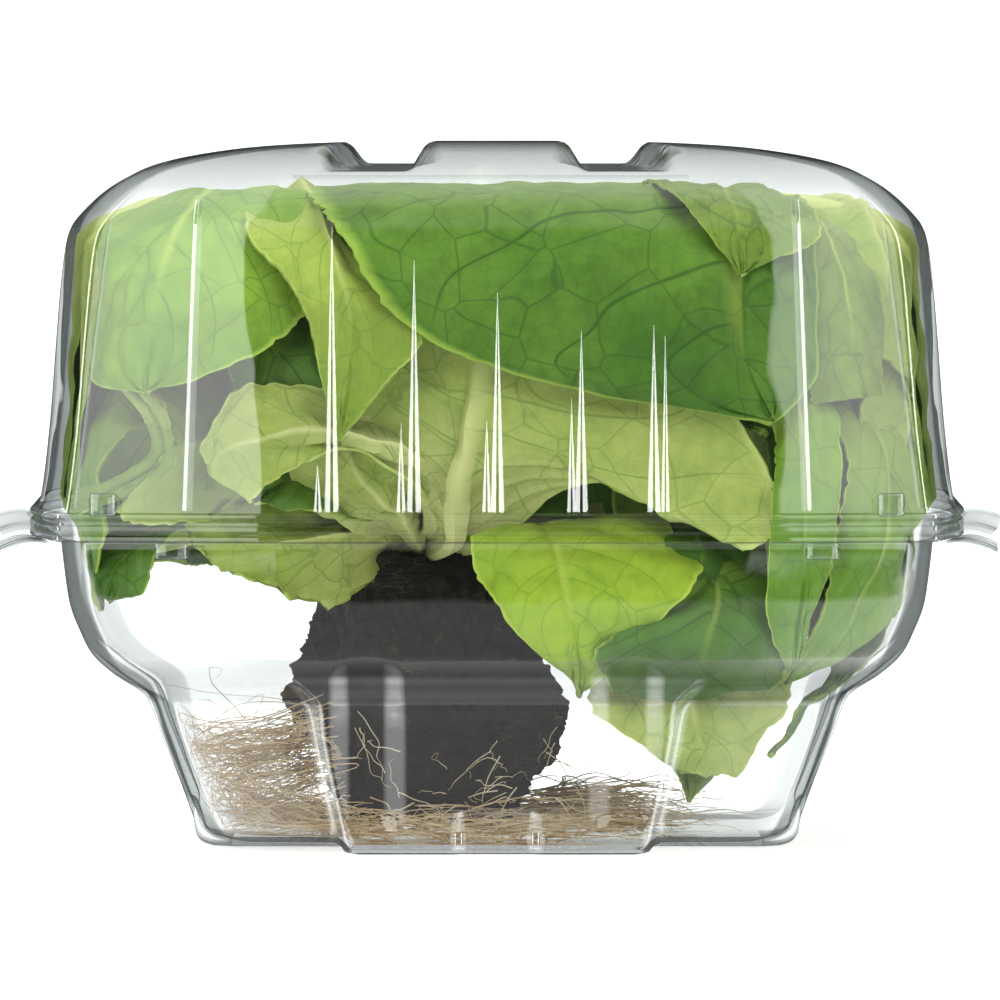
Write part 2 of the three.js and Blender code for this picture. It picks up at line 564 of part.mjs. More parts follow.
/** Curves of a leaf that rises from the heart, turns over under the lid and hangs down along the wall. */
function wrappedLeaf({ turn, root, drop, half, layer }) {
  const angle = (turn * Math.PI) / 180;
  const out = [Math.cos(angle), Math.sin(angle)];
  const side = [Math.sin(angle), -Math.cos(angle)];
  const place = (reach, across, height) => [reach * out[0] + across * side[0], reach * out[1] + across * side[1],
    height];
  const stations = [[14, 0.35, 86], [34, 0.75, 112], [66, 0.98, 118], [88, 1, 104], [92, 0.95, (104 + drop) / 2 + 6],
    [94, 0.72, drop + 8], [90, 0.12, drop]];
  const line = (share, lift) => stations.map(([reach, width, height]) =>
    place(reach, share * width * half, height + lift * width));
  return { root, layer, puff: 2, wave: 2, rib: line(0, 0), a: line(-1, -4), b: line(1, -4) };
}

/** Curves of a cupped leaf that stands in the heart. */
function heartLeaf({ turn, root, lean, top, half }) {
  const angle = (turn * Math.PI) / 180;
  const out = [Math.cos(angle), Math.sin(angle)];
  const side = [Math.sin(angle), -Math.cos(angle)];
  const place = (reach, across, height) => [-4 + reach * out[0] + across * side[0],
    reach * out[1] + across * side[1], height];
  const stations = [[lean * 0.5, 0.4, 74], [lean, 0.85, 88], [lean * 1.25, 1, 102], [lean, 0.75, (top + 102) / 2 + 3],
    [lean * 0.7, 0.1, top]];
  const line = (share) => stations.map(([reach, width, height]) =>
    place(reach - Math.abs(share) * width * half * 0.45, share * width * half, height));
  return { root, layer: 0, puff: 2, wave: 1.6, rib: line(0), a: line(-1), b: line(1) };
}

/** Only the outer skin of the biggest piece: closed pockets between leaves are filled. */
function outerSkin(solid) {
  const parts = solid.decompose();
  const biggest = parts.reduce((best, part) => (part.volume() > best.volume() ? part : best));
  const { vertProperties, triVerts, numProp } = biggest.getMesh();
  const points = [];
  for (let k = 0; k < vertProperties.length; k += numProp) {
    points.push([vertProperties[k], vertProperties[k + 1], vertProperties[k + 2]]);
  }
  const group = points.map((_, k) => k);
  const find = (k) => {
    let at = k;
    while (group[at] !== at) {
      group[at] = group[group[at]];
      at = group[at];
    }
    return at;
  };
  for (let t = 0; t < triVerts.length; t += 3) {
    group[find(triVerts[t])] = find(triVerts[t + 1]);
    group[find(triVerts[t + 1])] = find(triVerts[t + 2]);
  }
  const shells = new Map();
  for (let t = 0; t < triVerts.length; t += 3) {
    const key = find(triVerts[t]);
    const shell = shells.get(key) ?? { triangles: [], volume: 0 };
    const triangle = [triVerts[t], triVerts[t + 1], triVerts[t + 2]];
    const [p, q, r] = triangle.map((k) => points[k]);
    const turned = crossOf(q, r);
    shell.triangles.push(triangle);
    shell.volume += (p[0] * turned[0] + p[1] * turned[1] + p[2] * turned[2]) / 6;
    shells.set(key, shell);
  }
  const skin = [...shells.values()].reduce((best, shell) => (shell.volume > best.volume ? shell : best));
  return solidFrom(points, skin.triangles);
}

/** Peat block, made bigger all round by the given amount. */
function peatSolid(grow) {
  const rings = PEAT.map(([height, x, y, halfX, halfY, turn], level) => {
    const angle = (turn * Math.PI) / 180;
    const ring = [];
    for (let k = 0; k < PEAT_SIDES; k++) {
      const around = (2 * Math.PI * k) / PEAT_SIDES;
      const c = Math.cos(around);
      const s = Math.sin(around);
      const square = 1 / Math.pow(Math.abs(c) ** 5 + Math.abs(s) ** 5, 0.2);
      const rough = 1 + 0.02 * Math.sin(5 * around + 2.1 * level) + 0.015 * Math.sin(9 * around + 4 * level);
      const px = c * square * (halfX * rough + grow);
      const py = s * square * (halfY * rough + grow);
      ring.push([x + px * Math.cos(angle) - py * Math.sin(angle), y + px * Math.sin(angle) + py * Math.cos(angle),
        height]);
    }
    return ring;
  });
  const low = rings[0].map(([x, y, z]) => [x, y, z - grow]);
  const high = rings[rings.length - 1].map(([x, y, z]) => [x, y, z + grow]);
  return grow ? ringSolid([low, ...rings, high]) : ringSolid(rings);
}

function stemSolid(grow) {
  const ring = (height, radius) => Array.from({ length: 14 }, (_, k) => {
    const around = (2 * Math.PI * k) / 14;
    return [STEM[0] + radius * Math.cos(around), STEM[1] + radius * Math.sin(around), height];
  });
  const wide = STEM_RADIUS + grow;
  return ringSolid([ring(STEM_FOOT - grow, wide - 1), ring(STEM_FOOT + 3, wide), ring(STEM_TOP, wide + 1.2),
    ring(STEM_TOP + 3, wide - 2.5)]);
}

/** Tube along a smooth curve, thin at its far end. */
function strandSolid([start, middle, end, radius], shift) {
  const points = [start, middle, end];
  const rings = [];
  for (let step = 0; step <= STRAND_STEPS; step++) {
    const t = step / STRAND_STEPS;
    const centre = plus(curvePoint(points, t), [0, 0, 0.5 * Math.sin(9 * t + shift)]);
    const along = unit(minus(curvePoint(points, Math.min(t + 0.05, 1)), curvePoint(points, Math.max(t - 0.05, 0))));
    const side = unit(crossOf([0, 0, 1], along));
    const up = crossOf(along, side);
    const size = radius * (1 - 0.45 * t);
    rings.push(Array.from({ length: STRAND_SIDES }, (_, k) => {
      const around = (2 * Math.PI * k) / STRAND_SIDES;
      return plus(plus(centre, side, size * Math.cos(around)), up, size * Math.sin(around));
    }));
  }
  return ringSolid(rings);
}

function buildRoots() {
  const mat = ringSolid(MAT.map(([height, halfX, halfY]) => Array.from({ length: 28 }, (_, k) => {
    const around = (2 * Math.PI * k) / 28;
    const rough = 1 + 0.07 * Math.sin(4 * around + 1) + 0.05 * Math.sin(7 * around);
    return [-14 + halfX * rough * Math.cos(around), -18 + halfY * rough * Math.sin(around), height];
  })));
  const strands = STRANDS.map((strand, k) => strandSolid(strand, 1.7 * k));
  return outerSkin(Manifold.union([mat, ...strands]).intersect(roomSolid()).subtract(peatSolid(GAP)));
}

/** The room inside the closed box that the plant may fill, clear of the sheet all round. */
function roomSolid() {
  const clear = WALL + GAP;
  const foot = inner(FOOT_WALL, clear);
  foot[0][0] = FOOT_WALL[0][0] + clear;
  const bowl = inner(BASE_WALL, clear);
  bowl.push([LID_FLANGE_TOP, BASE_WALL[BASE_WALL.length - 1][1] - clear]);
  const lid = inner(LID_WALL, clear).filter(([height]) => height < GROOVE_FLOOR - clear);
  lid.push([GROOVE_FLOOR - clear, lid[lid.length - 1][1] - 2]);
  return planSolid(foot).add(planSolid(bowl)).add(planSolid(lid)).add(footBulges(clear));
}

function buildHead() {
  const leaves = PLACED_LEAVES.concat(WRAPPED_LEAVES.map(wrappedLeaf), HEART_LEAVES.map(heartLeaf));
  const whole = Manifold.union([stemSolid(0), ...leaves.map(leafSolid)]);
  const soil = peatSolid(GAP).subtract(stemSolid(GAP));
  return outerSkin(outerSkin(whole.intersect(roomSolid()).subtract(soil)).simplify(HEAD_DETAIL));
}

function buildPeat() {
  return peatSolid(0).subtract(stemSolid(GAP));
}

const group = new THREE.Group();

/** Adds one solid to the group as a named mesh. */
function addPiece(name, solid, color, roughness, opacity = 1) {
  const { vertProperties, triVerts } = solid.getMesh();
  const geometry = new THREE.BufferGeometry();
  geometry.setAttribute("position", new THREE.BufferAttribute(new Float32Array(vertProperties), 3));
  geometry.setIndex(new THREE.BufferAttribute(new Uint32Array(triVerts), 1));
  geometry.computeVertexNormals();
  const material = new THREE.MeshStandardMaterial({ color, roughness, opacity, transparent: opacity < 1 });
  const mesh = new THREE.Mesh(geometry, material);
  mesh.name = name;
  group.add(mesh);
}

addPiece("clamshell_base", buildBase().simplify(SHELL_DETAIL), COLORS.clear, 0.1, 0.25);
addPiece("clamshell_lid", buildLid().simplify(SHELL_DETAIL), COLORS.clear, 0.1, 0.25);
addPiece("lettuce_head", buildHead(), COLORS.leaf, 0.6);
addPiece("growing_plug", buildPeat().simplify(SHELL_DETAIL), COLORS.peat, 0.95);
addPiece("roots", outerSkin(buildRoots().simplify(SHELL_DETAIL)), COLORS.root, 0.85);

export default group;
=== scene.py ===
"""Butterhead lettuce with its roots in a peat block, held in a clear hinged box.

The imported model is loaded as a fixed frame. Fine leaves, peat, root threads and clear sheets take the
places of its plain solids, and a studio with a white backdrop is set up around them.
"""

from __future__ import annotations

import logging
import math
from collections.abc import Callable
from dataclasses import dataclass, field
from enum import Enum
from functools import partial
from typing import Any

import bpy
import numpy as np
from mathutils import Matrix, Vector

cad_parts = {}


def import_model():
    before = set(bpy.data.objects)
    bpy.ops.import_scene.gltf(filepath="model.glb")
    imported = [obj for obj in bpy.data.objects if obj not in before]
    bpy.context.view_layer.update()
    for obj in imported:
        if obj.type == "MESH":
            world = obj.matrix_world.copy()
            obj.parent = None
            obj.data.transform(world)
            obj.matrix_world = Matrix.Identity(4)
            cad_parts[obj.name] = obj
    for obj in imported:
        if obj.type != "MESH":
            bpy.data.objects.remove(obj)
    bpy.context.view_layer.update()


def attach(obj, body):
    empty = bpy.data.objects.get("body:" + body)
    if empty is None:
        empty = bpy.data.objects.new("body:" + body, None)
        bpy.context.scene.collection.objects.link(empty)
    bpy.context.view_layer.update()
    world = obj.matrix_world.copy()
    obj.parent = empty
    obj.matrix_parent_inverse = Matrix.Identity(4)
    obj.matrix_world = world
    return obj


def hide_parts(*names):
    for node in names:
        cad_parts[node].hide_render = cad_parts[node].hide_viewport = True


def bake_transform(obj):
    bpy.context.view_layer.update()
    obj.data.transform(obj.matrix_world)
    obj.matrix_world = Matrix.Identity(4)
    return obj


log = logging.getLogger("lettuce")

MM = 0.001

Point = tuple[float, float, float]
Points = tuple[Point, ...]
Profile = tuple[tuple[float, float], ...]


def linear(hex_colour: str) -> tuple[float, float, float, float]:
    """Turns an sRGB hex colour into linear values.

    Args:
        hex_colour: Six digits with a leading #.

    Returns:
        Red, green, blue and an alpha of 1.
    """
    parts = [int(hex_colour[k : k + 2], 16) / 255 for k in (1, 3, 5)]
    return (*(p / 12.92 if p <= 0.04045 else ((p + 0.055) / 1.055) ** 2.4 for p in parts), 1.0)


def add_node(
    tree: bpy.types.NodeTree,
    kind: str,
    inputs: dict[str, Any] | list[Any] | None = None,
    stops: dict[float, str] | None = None,
    **settings: Any,
) -> bpy.types.Node:
    """Adds a shader node with its settings, values and links.

    A socket's value is a number, colour or vector, a node for a link from its first output in use, or
    (node, output) for a link from another output.

    Args:
        tree: The node tree that gets the node.
        kind: Node type without its Shader prefix, such as TexNoise.
        inputs: Socket names with their values, or the values of the sockets in use from the first on.
        stops: A colour ramp's places from 0 to 1 with their sRGB hex colours.
        **settings: Properties of the node.

    Returns:
        The new node.
    """
    node = tree.nodes.new("ShaderNode" + kind)
    for key, value in settings.items():
        setattr(node, key, value)
    if stops:
        elements = node.color_ramp.elements
        while len(elements) < len(stops):
            elements.new(0.5)
        for element, (place, colour) in zip(elements, sorted(stops.items())):
            element.position = place
            element.color = linear(colour)
    if isinstance(inputs, dict):
        pairs = [(node.inputs[socket], value) for socket, value in inputs.items()]
    else:
        pairs = list(zip([socket for socket in node.inputs if socket.enabled], inputs or []))
    for socket, value in pairs:
        if isinstance(value, bpy.types.Node):
            value = (value, next(k for k, output in enumerate(value.outputs) if output.enabled))
        if isinstance(value, tuple) and isinstance(value[0], bpy.types.Node):
            tree.links.new(value[0].outputs[value[1]], socket)
        else:
            socket.default_value = value
    return node


def new_material(name: str) -> tuple[bpy.types.Material, Callable[..., bpy.types.Node]]:
    """Makes an empty node material.

    Args:
        name: The finish's name.

    Returns:
        The material, and add_node for its tree.
    """
    material = bpy.data.materials.new(name)
    material.use_nodes = True
    material.node_tree.nodes.clear()
    return material, partial(add_node, material.node_tree)


def smooth_step(low: float, high: float, value: np.ndarray) -> np.ndarray:
    """Goes from 0 at low to 1 at high without a corner.

    Args:
        low: Where it starts.
        high: Where it ends.
        value: The values.

    Returns:
        Values from 0 to 1.
    """
    t = np.clip((value - low) / (high - low), 0, 1)
    return t * t * (3 - 2 * t)


def smooth_curve(points: np.ndarray, share: np.ndarray) -> np.ndarray:
    """Points at the given shares of a smooth curve.

    Args:
        points: The curve's own points, one a row.
        share: Places from 0 to 1.

    Returns:
        One point a share.
    """
    last = len(points) - 1
    place = np.clip(share, 0, 1) * last
    k = np.minimum(place.astype(int), last - 1)
    f = (place - k)[:, None]
    p0, p1, p2, p3 = (points[np.clip(k + step, 0, last)] for step in (-1, 0, 1, 2))
    line = 2 * p1 + (p2 - p0) * f
    return 0.5 * (line + (2 * p0 - 5 * p1 + 4 * p2 - p3) * f**2 + (3 * p1 - p0 - 3 * p2 + p3) * f**3)


def unit(vectors: np.ndarray) -> np.ndarray:
    """Vectors of length 1 along the given ones."""
    return vectors / np.maximum(np.linalg.norm(vectors, axis=-1, keepdims=True), 1e-9)


def waver(points: np.ndarray, wavelength: float, seed: float) -> np.ndarray:
    """Soft unevenness that is the same each run, from five waves that run in different directions.

    Args:
        points: Places in millimetres.
        wavelength: Rough distance between swellings, in millimetres.
        seed: Picks another pattern.

    Returns:
        Values of about -1 to 1.
    """
    total = np.zeros(len(points))
    for step in range(5):
        angle = seed * 1.7 + step * 2.4
        tilt = 0.9 * math.sin(seed + step * 1.3)
        way = np.array([math.cos(angle) * math.cos(tilt), math.sin(angle) * math.cos(tilt), math.sin(tilt)])
        stretch = 2 * math.pi / (wavelength * (0.7 + 0.17 * step))
        total += np.sin(points @ way * stretch + seed * 3.1 + step * 1.9)
    return total / 2.6


def deselect() -> None:
    """Leaves nothing selected."""
    if bpy.context.object and bpy.context.object.mode != "OBJECT":
        bpy.ops.object.mode_set(mode="OBJECT")
    bpy.ops.object.select_all(action="DESELECT")


def select_only(piece: bpy.types.Object) -> None:
    """Leaves one piece selected and active.

    Args:
        piece: The piece.
    """
    deselect()
    piece.select_set(True)
    bpy.context.view_layer.objects.active = piece


def coordinates(piece: bpy.types.Object) -> np.ndarray:
    """Places of a mesh's points, in its own units.

    Args:
        piece: The mesh piece.

    Returns:
        One point a row.
    """
    places = np.empty(len(piece.data.vertices) * 3)
    piece.data.vertices.foreach_get("co", places)
    return places.reshape(-1, 3)


def place_points(piece: bpy.types.Object, millimetres: np.ndarray) -> None:
    """Moves a mesh's points to places given in millimetres."""
    piece.data.vertices.foreach_set("co", (millimetres * MM).ravel())
    piece.data.update()


def grid_piece(name: str, across: int, along: int) -> bpy.types.Object:
    """A flat square grid from -1 to 1, ready to be shaped.

    Args:
        name: The piece's name.
        across: Divisions along X.
        along: Divisions along Y.

    Returns:
        The new piece.
    """
    deselect()
    bpy.ops.mesh.primitive_grid_add(x_subdivisions=across, y_subdivisions=along, size=2)
    piece = bpy.context.object
    piece.name = name
    piece.data.name = name
    return piece


def close_seams(piece: bpy.types.Object) -> None:
    """Merges points that lie on each other, and turns all faces outwards.

    Args:
        piece: The mesh piece.
    """
    select_only(piece)
    bpy.ops.object.mode_set(mode="EDIT")
    bpy.ops.mesh.select_all(action="SELECT")
    bpy.ops.mesh.remove_doubles(threshold=0.02 * MM)
    bpy.ops.mesh.normals_make_consistent(inside=False)
    bpy.ops.object.mode_set(mode="OBJECT")


def apply_modifier(piece: bpy.types.Object, kind: str, **settings: Any) -> None:
    """Adds a modifier to a piece and applies it.

    Args:
        piece: The mesh piece.
        kind: Modifier type.
        **settings: The modifier's properties.
    """
    select_only(piece)
    modifier = piece.modifiers.new(kind.lower(), kind)
    for key, value in settings.items():
        setattr(modifier, key, value)
    bpy.ops.object.modifier_apply(modifier=modifier.name)


def smooth(piece: bpy.types.Object, degrees: float = 35) -> None:
    """Shades a piece smooth where its faces meet at less than the given angle."""
    select_only(piece)
    bpy.ops.object.shade_smooth_by_angle(angle=math.radians(degrees))


def hand_over(piece: bpy.types.Object, body: str, node: str) -> None:
    """Lets a finished piece ride on its body and stand for its solid.

    Args:
        piece: The finished piece.
        body: The body that carries it.
        node: The solid that it takes the place of.
    """
    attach(piece, body)
    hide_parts(node)
    log.info("%s: %d faces, rides on %s", piece.name, len(piece.data.polygons), body)


class Tone(Enum):
    """How deep the green of a leaf is, and one tone of painted shade: a dark green for a leaf that lies in
    shadow.
    """

    DEEP = "deep"
    BRIGHT = "bright"
    MID = "mid"
    PALE = "pale"
    YELLOW = "yellow"
    # Painted shade: darker than a leaf's own green, for a leaf in shadow under the ledge
    SHADED = "shaded"


@dataclass(frozen=True)
class LeafFinish:
    """Fresh lettuce leaf: a soft satin skin, greener towards the margin, with a net of fine veins.

    The upper face is deep green with sunk veins that show as thin dark or light lines. The lower face is
    paler and duller, and its veins stand up from it.
    """

    blade: str
    blade_shade: str
    foot: str
    vein: str
    margin: str
    roughness: float
    vein_strength: float

    def material(self, name: str) -> bpy.types.Material:
        """Builds the node material.

        Args:
            name: The finish's name.

        Returns:
            The material.
        """
        material, node = new_material(name)
        place = (node("TexCoord"), "Object")
        to_tip = (node("SeparateXYZ", [node("UVMap", uv_map="leaf")]), "Y")
        veins = node("SeparateXYZ", [node("UVMap", uv_map="veins")])
        flow, to_margin = (veins, "X"), (veins, "Y")
        # Broad patches of 30 mm, and a mottle of 4 mm, as the green sits unevenly in the blade
        patches = node("TexNoise", {"Vector": place, "Scale": 34.0, "Detail": 1.0})
        mottle = node("TexNoise", {"Vector": place, "Scale": 260.0, "Detail": 2.0})
        green = node("MapRange", [patches, 0.35, 0.65, 0, 1])
        blade = node("ValToRGB", [green], stops={0.0: self.blade_shade, 1.0: self.blade})
        speckle = node("MapRange", [mottle, 0.42, 0.75, 0, 0.35])
        blade = node("Mix", [speckle, blade, linear(self.vein)], data_type="RGBA")
        foot = node("MapRange", [to_tip, 0.12, 0.62, 1, 0])
        blade = node("Mix", [foot, blade, linear(self.foot)], data_type="RGBA")
        lines = self.side_veins(node, flow, to_margin)
        # Nets of veins with cells of 9 mm and 3 mm, drawn a little coarser than real so that they show
        warp = node("Mix", [0.012, place, (patches, "Color")], data_type="RGBA", blend_type="ADD")
        coarse = node("TexVoronoi", {"Vector": warp, "Scale": 85.0}, feature="DISTANCE_TO_EDGE")
        fine = node("TexVoronoi", {"Vector": warp, "Scale": 300.0}, feature="DISTANCE_TO_EDGE")
        net = node("MapRange", [coarse, 0.008, 0.022, 1, 0])
        net = node("Math", [net, 0.7], operation="MULTIPLY")
        lace = node("MapRange", [fine, 0.02, 0.1, 0.2, 0])
        lines = node("Math", [lines, net], operation="MAXIMUM")
        lines = node("Math", [lines, lace], operation="MAXIMUM")
        lines = node("Math", [lines, self.vein_strength], operation="MULTIPLY")
        colour = node("Mix", [lines, blade, linear(self.vein)], data_type="RGBA")
        rib = node("MapRange", [to_margin, 0.012, 0.055, 1, 0])
        fades = node("MapRange", [to_tip, 0.4, 0.9, 1, 0])
        rib = node("Math", [rib, fades], operation="MULTIPLY")
        colour = node("Mix", [rib, colour, linear(self.foot)], data_type="RGBA")
        edge = node("MapRange", [to_margin, 0.955, 0.99, 0, 0.75])
        colour = node("Mix", [edge, colour, linear(self.margin)], data_type="RGBA")
        bump = node("Bump", {"Strength": 0.16, "Distance": 0.5 * MM, "Height": mottle})
        look = {"Base Color": colour, "Roughness": self.roughness, "IOR": 1.36, "Normal": bump}
        node("OutputMaterial", [node("BsdfPrincipled", look)])
        return material

    def side_veins(
        self, node: Callable[..., bpy.types.Node], flow: tuple, to_margin: tuple
    ) -> bpy.types.Node:
        """Draws one vein at each whole number of the flow coordinate, thinner towards the margin.

        Args:
            node: Adds a node to the material.
            flow: (node, output) of the flow coordinate.
            to_margin: (node, output) of the share of the way from the rib to the margin.

        Returns:
            The node that is 1 on a vein and 0 beside it.
        """
        away = node("Math", [flow, 0.5], operation="PINGPONG")
        reach = node("MapRange", [to_margin, 0, 1, 0.02, 0.007])
        core = node("Math", [away, reach], operation="LESS_THAN")
        core = node("Math", [core, 0.6], operation="MULTIPLY")
        ratio = node("Math", [away, reach], operation="DIVIDE")
        flank = node("MapRange", [ratio, 0.4, 2.0, 0, 1])
        flank = node("Math", [1.0, flank], operation="SUBTRACT")
        vein = node("Math", [core, flank], operation="MAXIMUM")
        ends = node("MapRange", [to_margin, 0.75, 1.0, 1, 0])
        return node("Math", [vein, ends], operation="MULTIPLY")


@dataclass(frozen=True)
class ClearSheetFinish:
    """Clear PET, thermoformed: nearly colourless, with mirror gloss that grows at grazing angles.

    Seen edge-on the sheet looks grey, because light runs along inside it and leaves elsewhere.
    """

    through: tuple[tuple[float, str], ...] = (
        (0.0, "#FBFDFD"), (0.55, "#F4F7F7"), (0.8, "#E4E8E7"), (0.92, "#BCC2C1"), (1.0, "#3C4342"),
    )  # fmt: skip
    ior: float = 1.57

    def material(self, name: str) -> bpy.types.Material:
        """Builds the node material.

        Args:
            name: The finish's name.

        Returns:
            The material.
        """
        material, node = new_material(name)
        place = (node("TexCoord"), "Object")
        # The sheet keeps shallow unevenness of about 15 mm from being drawn over the mould
        drawn = node("TexNoise", {"Vector": place, "Scale": 70.0, "Detail": 1.0})
        bump = node("Bump", {"Strength": 0.2, "Distance": 1 * MM, "Height": drawn})
        facing = (node("LayerWeight", {"Blend": 0.5}), "Facing")
        through = node("ValToRGB", [facing], stops=dict(self.through))
        shine = node("ValToRGB", [facing], stops={0.0: "#FFFFFF", 1.0: "#D8DCDC"})
        clear = node("BsdfTransparent", {"Color": through})
        gloss = node("BsdfGlossy", {"Color": shine, "Roughness": 0.0, "Normal": bump})
        # Both faces of the sheet mirror the room: a tenth of it head on, a third of it at grazing angles
        bounce = node("Fresnel", {"IOR": self.ior, "Normal": bump})
        both = node("MapRange", [bounce, 0.05, 0.4, 0.1, 0.34])
        node("OutputMaterial", [node("MixShader", [both, clear, gloss])])
        return material


@dataclass(frozen=True)
class PeatFinish:
    """Pressed moist peat: nearly black and matt, with brown crumbs and pale fibres of 1 to 3 mm."""

    crumb: tuple[tuple[float, str], ...] = (
        (0.3, "#030202"), (0.52, "#0B0907"), (0.66, "#1B1510"), (0.78, "#443323"),
    )  # fmt: skip
    lump: str = "#15100D"
    fibre: str = "#75604A"
    speck: str = "#6B3A22"

    def material(self, name: str) -> bpy.types.Material:
        """Builds the node material.

        Args:
            name: The finish's name.

        Returns:
            The material.
        """
        material, node = new_material(name)
        place = (node("TexCoord"), "Object")
        # Crumbs of 2 mm and lumps of 15 mm
        crumbs = node("TexNoise", {"Vector": place, "Scale": 420.0, "Detail": 6.0})
        lumps = node("TexNoise", {"Vector": place, "Scale": 70.0, "Detail": 3.0})
        colour = node("ValToRGB", [crumbs], stops=dict(self.crumb))
        lump = node("MapRange", [lumps, 0.4, 0.68, 0, 0.5])
        colour = node("Mix", [lump, colour, linear(self.lump)], data_type="RGBA")
        # Fibres about 1 mm apart, drawn out along the block
        drawn = node("Mapping", {"Vector": place, "Rotation": (0.3, 0.5, 0.2), "Scale": (1, 1, 5.5)})
        fibres = node("TexVoronoi", {"Vector": drawn, "Scale": 170.0}, feature="DISTANCE_TO_EDGE")
        thread = node("MapRange", [fibres, 0.008, 0.03, 0.5, 0])
        patchy = node("MapRange", [lumps, 0.5, 0.62, 0, 1])
        thread = node("Math", [thread, patchy], operation="MULTIPLY")
        colour = node("Mix", [thread, colour, linear(self.fibre)], data_type="RGBA")
        specks = node("TexVoronoi", {"Vector": place, "Scale": 520.0})
        speck = node("MapRange", [specks, 0.06, 0.14, 0.7, 0])
        colour = node("Mix", [speck, colour, linear(self.speck)], data_type="RGBA")
        bump = node("Bump", {"Strength": 0.9, "Distance": 1.2 * MM, "Height": crumbs})
        soil = node("BsdfPrincipled", {"Base Color": colour, "Roughness": 0.9, "Normal": bump})
        node("OutputMaterial", [soil])
        return material


@dataclass(frozen=True)
class RootFinish:
    """Living root threads: straw to tan, matt, whiter where they are young."""

    young: str
    old: str
    tip: str = "#D9CDB6"

    def material(self, name: str) -> bpy.types.Material:
        """Builds the node material.

        Args:
            name: The finish's name.

        Returns:
            The material.
        """
        material, node = new_material(name)
        place = (node("TexCoord"), "Object")
        age = node("TexNoise", {"Vector": place, "Scale": 130.0, "Detail": 3.0})
        colour = node("ValToRGB", [age], stops={0.32: self.old, 0.5: self.young, 0.72: self.tip})
        node("OutputMaterial", [node("BsdfPrincipled", {"Base Color": colour, "Roughness": 0.7})])
        return material


@dataclass
class Finishes:
    """Every finish of the part, made once."""

    upper: dict[Tone, bpy.types.Material] = field(default_factory=dict)
    lower: dict[Tone, bpy.types.Material] = field(default_factory=dict)
    sheet: bpy.types.Material | None = None
    peat: bpy.types.Material | None = None
    root: bpy.types.Material | None = None
    young_root: bpy.types.Material | None = None

    UPPER = {
        Tone.DEEP: LeafFinish("#597D26", "#3F6619", "#93A548", "#234611", "#93B046", 0.45, 0.75),
        Tone.BRIGHT: LeafFinish("#7B9D30", "#5F8724", "#ABBD59", "#3A6417", "#A9C255", 0.45, 0.65),
        Tone.MID: LeafFinish("#748C33", "#587527", "#A5B458", "#34521A", "#9DB352", 0.47, 0.7),
        Tone.PALE: LeafFinish("#879F3F", "#6D8832", "#BFC97C", "#43631F", "#B4C46B", 0.48, 0.7),
        Tone.YELLOW: LeafFinish("#93AE30", "#7A9C26", "#AEC050", "#55801F", "#B4C652", 0.45, 0.5),
        # Painted shade: very dark greens that stand in for the shadow on the lower leaves under the ledge
        Tone.SHADED: LeafFinish("#3F6418", "#2F5012", "#5C7A2C", "#1E3A0E", "#6E9034", 0.5, 0.6),
    }
    LOWER = LeafFinish("#98AA4C", "#849A3B", "#C3C87E", "#5F8233", "#B1C066", 0.58, 0.6)
    LOWER_PALE = LeafFinish("#A8B55E", "#95A64F", "#CDD08E", "#66863A", "#BCC874", 0.58, 0.65)

    def __post_init__(self) -> None:
        """Builds the materials."""
        for tone, finish in self.UPPER.items():
            self.upper[tone] = finish.material(f"leaf_upper_{tone.value}")
        lower = self.LOWER.material("leaf_lower")
        pale = self.LOWER_PALE.material("leaf_lower_pale")
        for tone in Tone:
            self.lower[tone] = pale if tone is Tone.PALE else lower
        self.sheet = ClearSheetFinish().material("clear_pet_thermoformed")
        self.peat = PeatFinish().material("peat_pressed_moist")
        self.root = RootFinish("#CBB08A", "#9F8059").material("root_thread_straw")
        self.young_root = RootFinish("#D2C3A4", "#A98F6A").material("root_thread_young")


@dataclass(frozen=True)
class Room:
    """Space that the closed box leaves free, and the swing of its lid. Millimetres."""

    inside: Profile = (
        (0, 49), (3, 53), (8, 56.5), (28, 62.5), (31, 67), (36, 73.5), (41, 76.6), (46, 78.6), (59, 80.8),
        (65, 84.6), (83, 82.4), (114, 79.6), (121, 75.5), (126, 67.5), (129, 58),
    )  # fmt: skip
    hinge: tuple[float, float] = (88.2, 60.45)
    sweep: float = 171.0
    lid_from: float = 58.0
    lowest: float = 1.6
    highest: float = 126.0
    sheet_gap: float = 1.4
    layer_gap: float = 1.3
    top_gap: float = 1.2
    squareness: int = 6

    def keep(self, points: np.ndarray, layer: float) -> np.ndarray:
        """Moves points inside the closed box and clear of the lid's swing.

        Args:
            points: Places in millimetres.
            layer: How many leaves lie between the points and the sheet.

        Returns:
            The moved points.
        """
        margin = self.sheet_gap + self.layer_gap * layer
        height = np.clip(points[:, 2], self.lowest, self.highest - self.top_gap * layer)
        half = np.interp(height, *np.array(self.inside).T) - margin
        power = self.squareness
        reach = (np.abs(points[:, 0] / half) ** power + np.abs(points[:, 1] / half) ** power) ** (1 / power)
        reach = np.maximum(reach, 1)
        x = points[:, 0] / reach
        y = points[:, 1] / reach
        limit = self.sweep - margin
        rise = height - self.hinge[1]
        far = (height > self.lid_from) & (np.hypot(y - self.hinge[0], rise) > limit)
        y = np.where(far, self.hinge[0] - np.sqrt(np.maximum(limit**2 - rise**2, 0)), y)
        return np.column_stack([x, y, height])


@dataclass(frozen=True)
class PlacedLeaf:
    """A leaf given by its rib and its two edges, from the stem outwards. Millimetres.

    Seen with the rib pointing away, edge a is on the left of the upper face and edge b on the right.
    """

    name: str
    tone: Tone
    root: float
    layer: float
    puff: float
    wave: float
    rib: Points
    edge_a: Points
    edge_b: Points
    ragged: float = 0.5


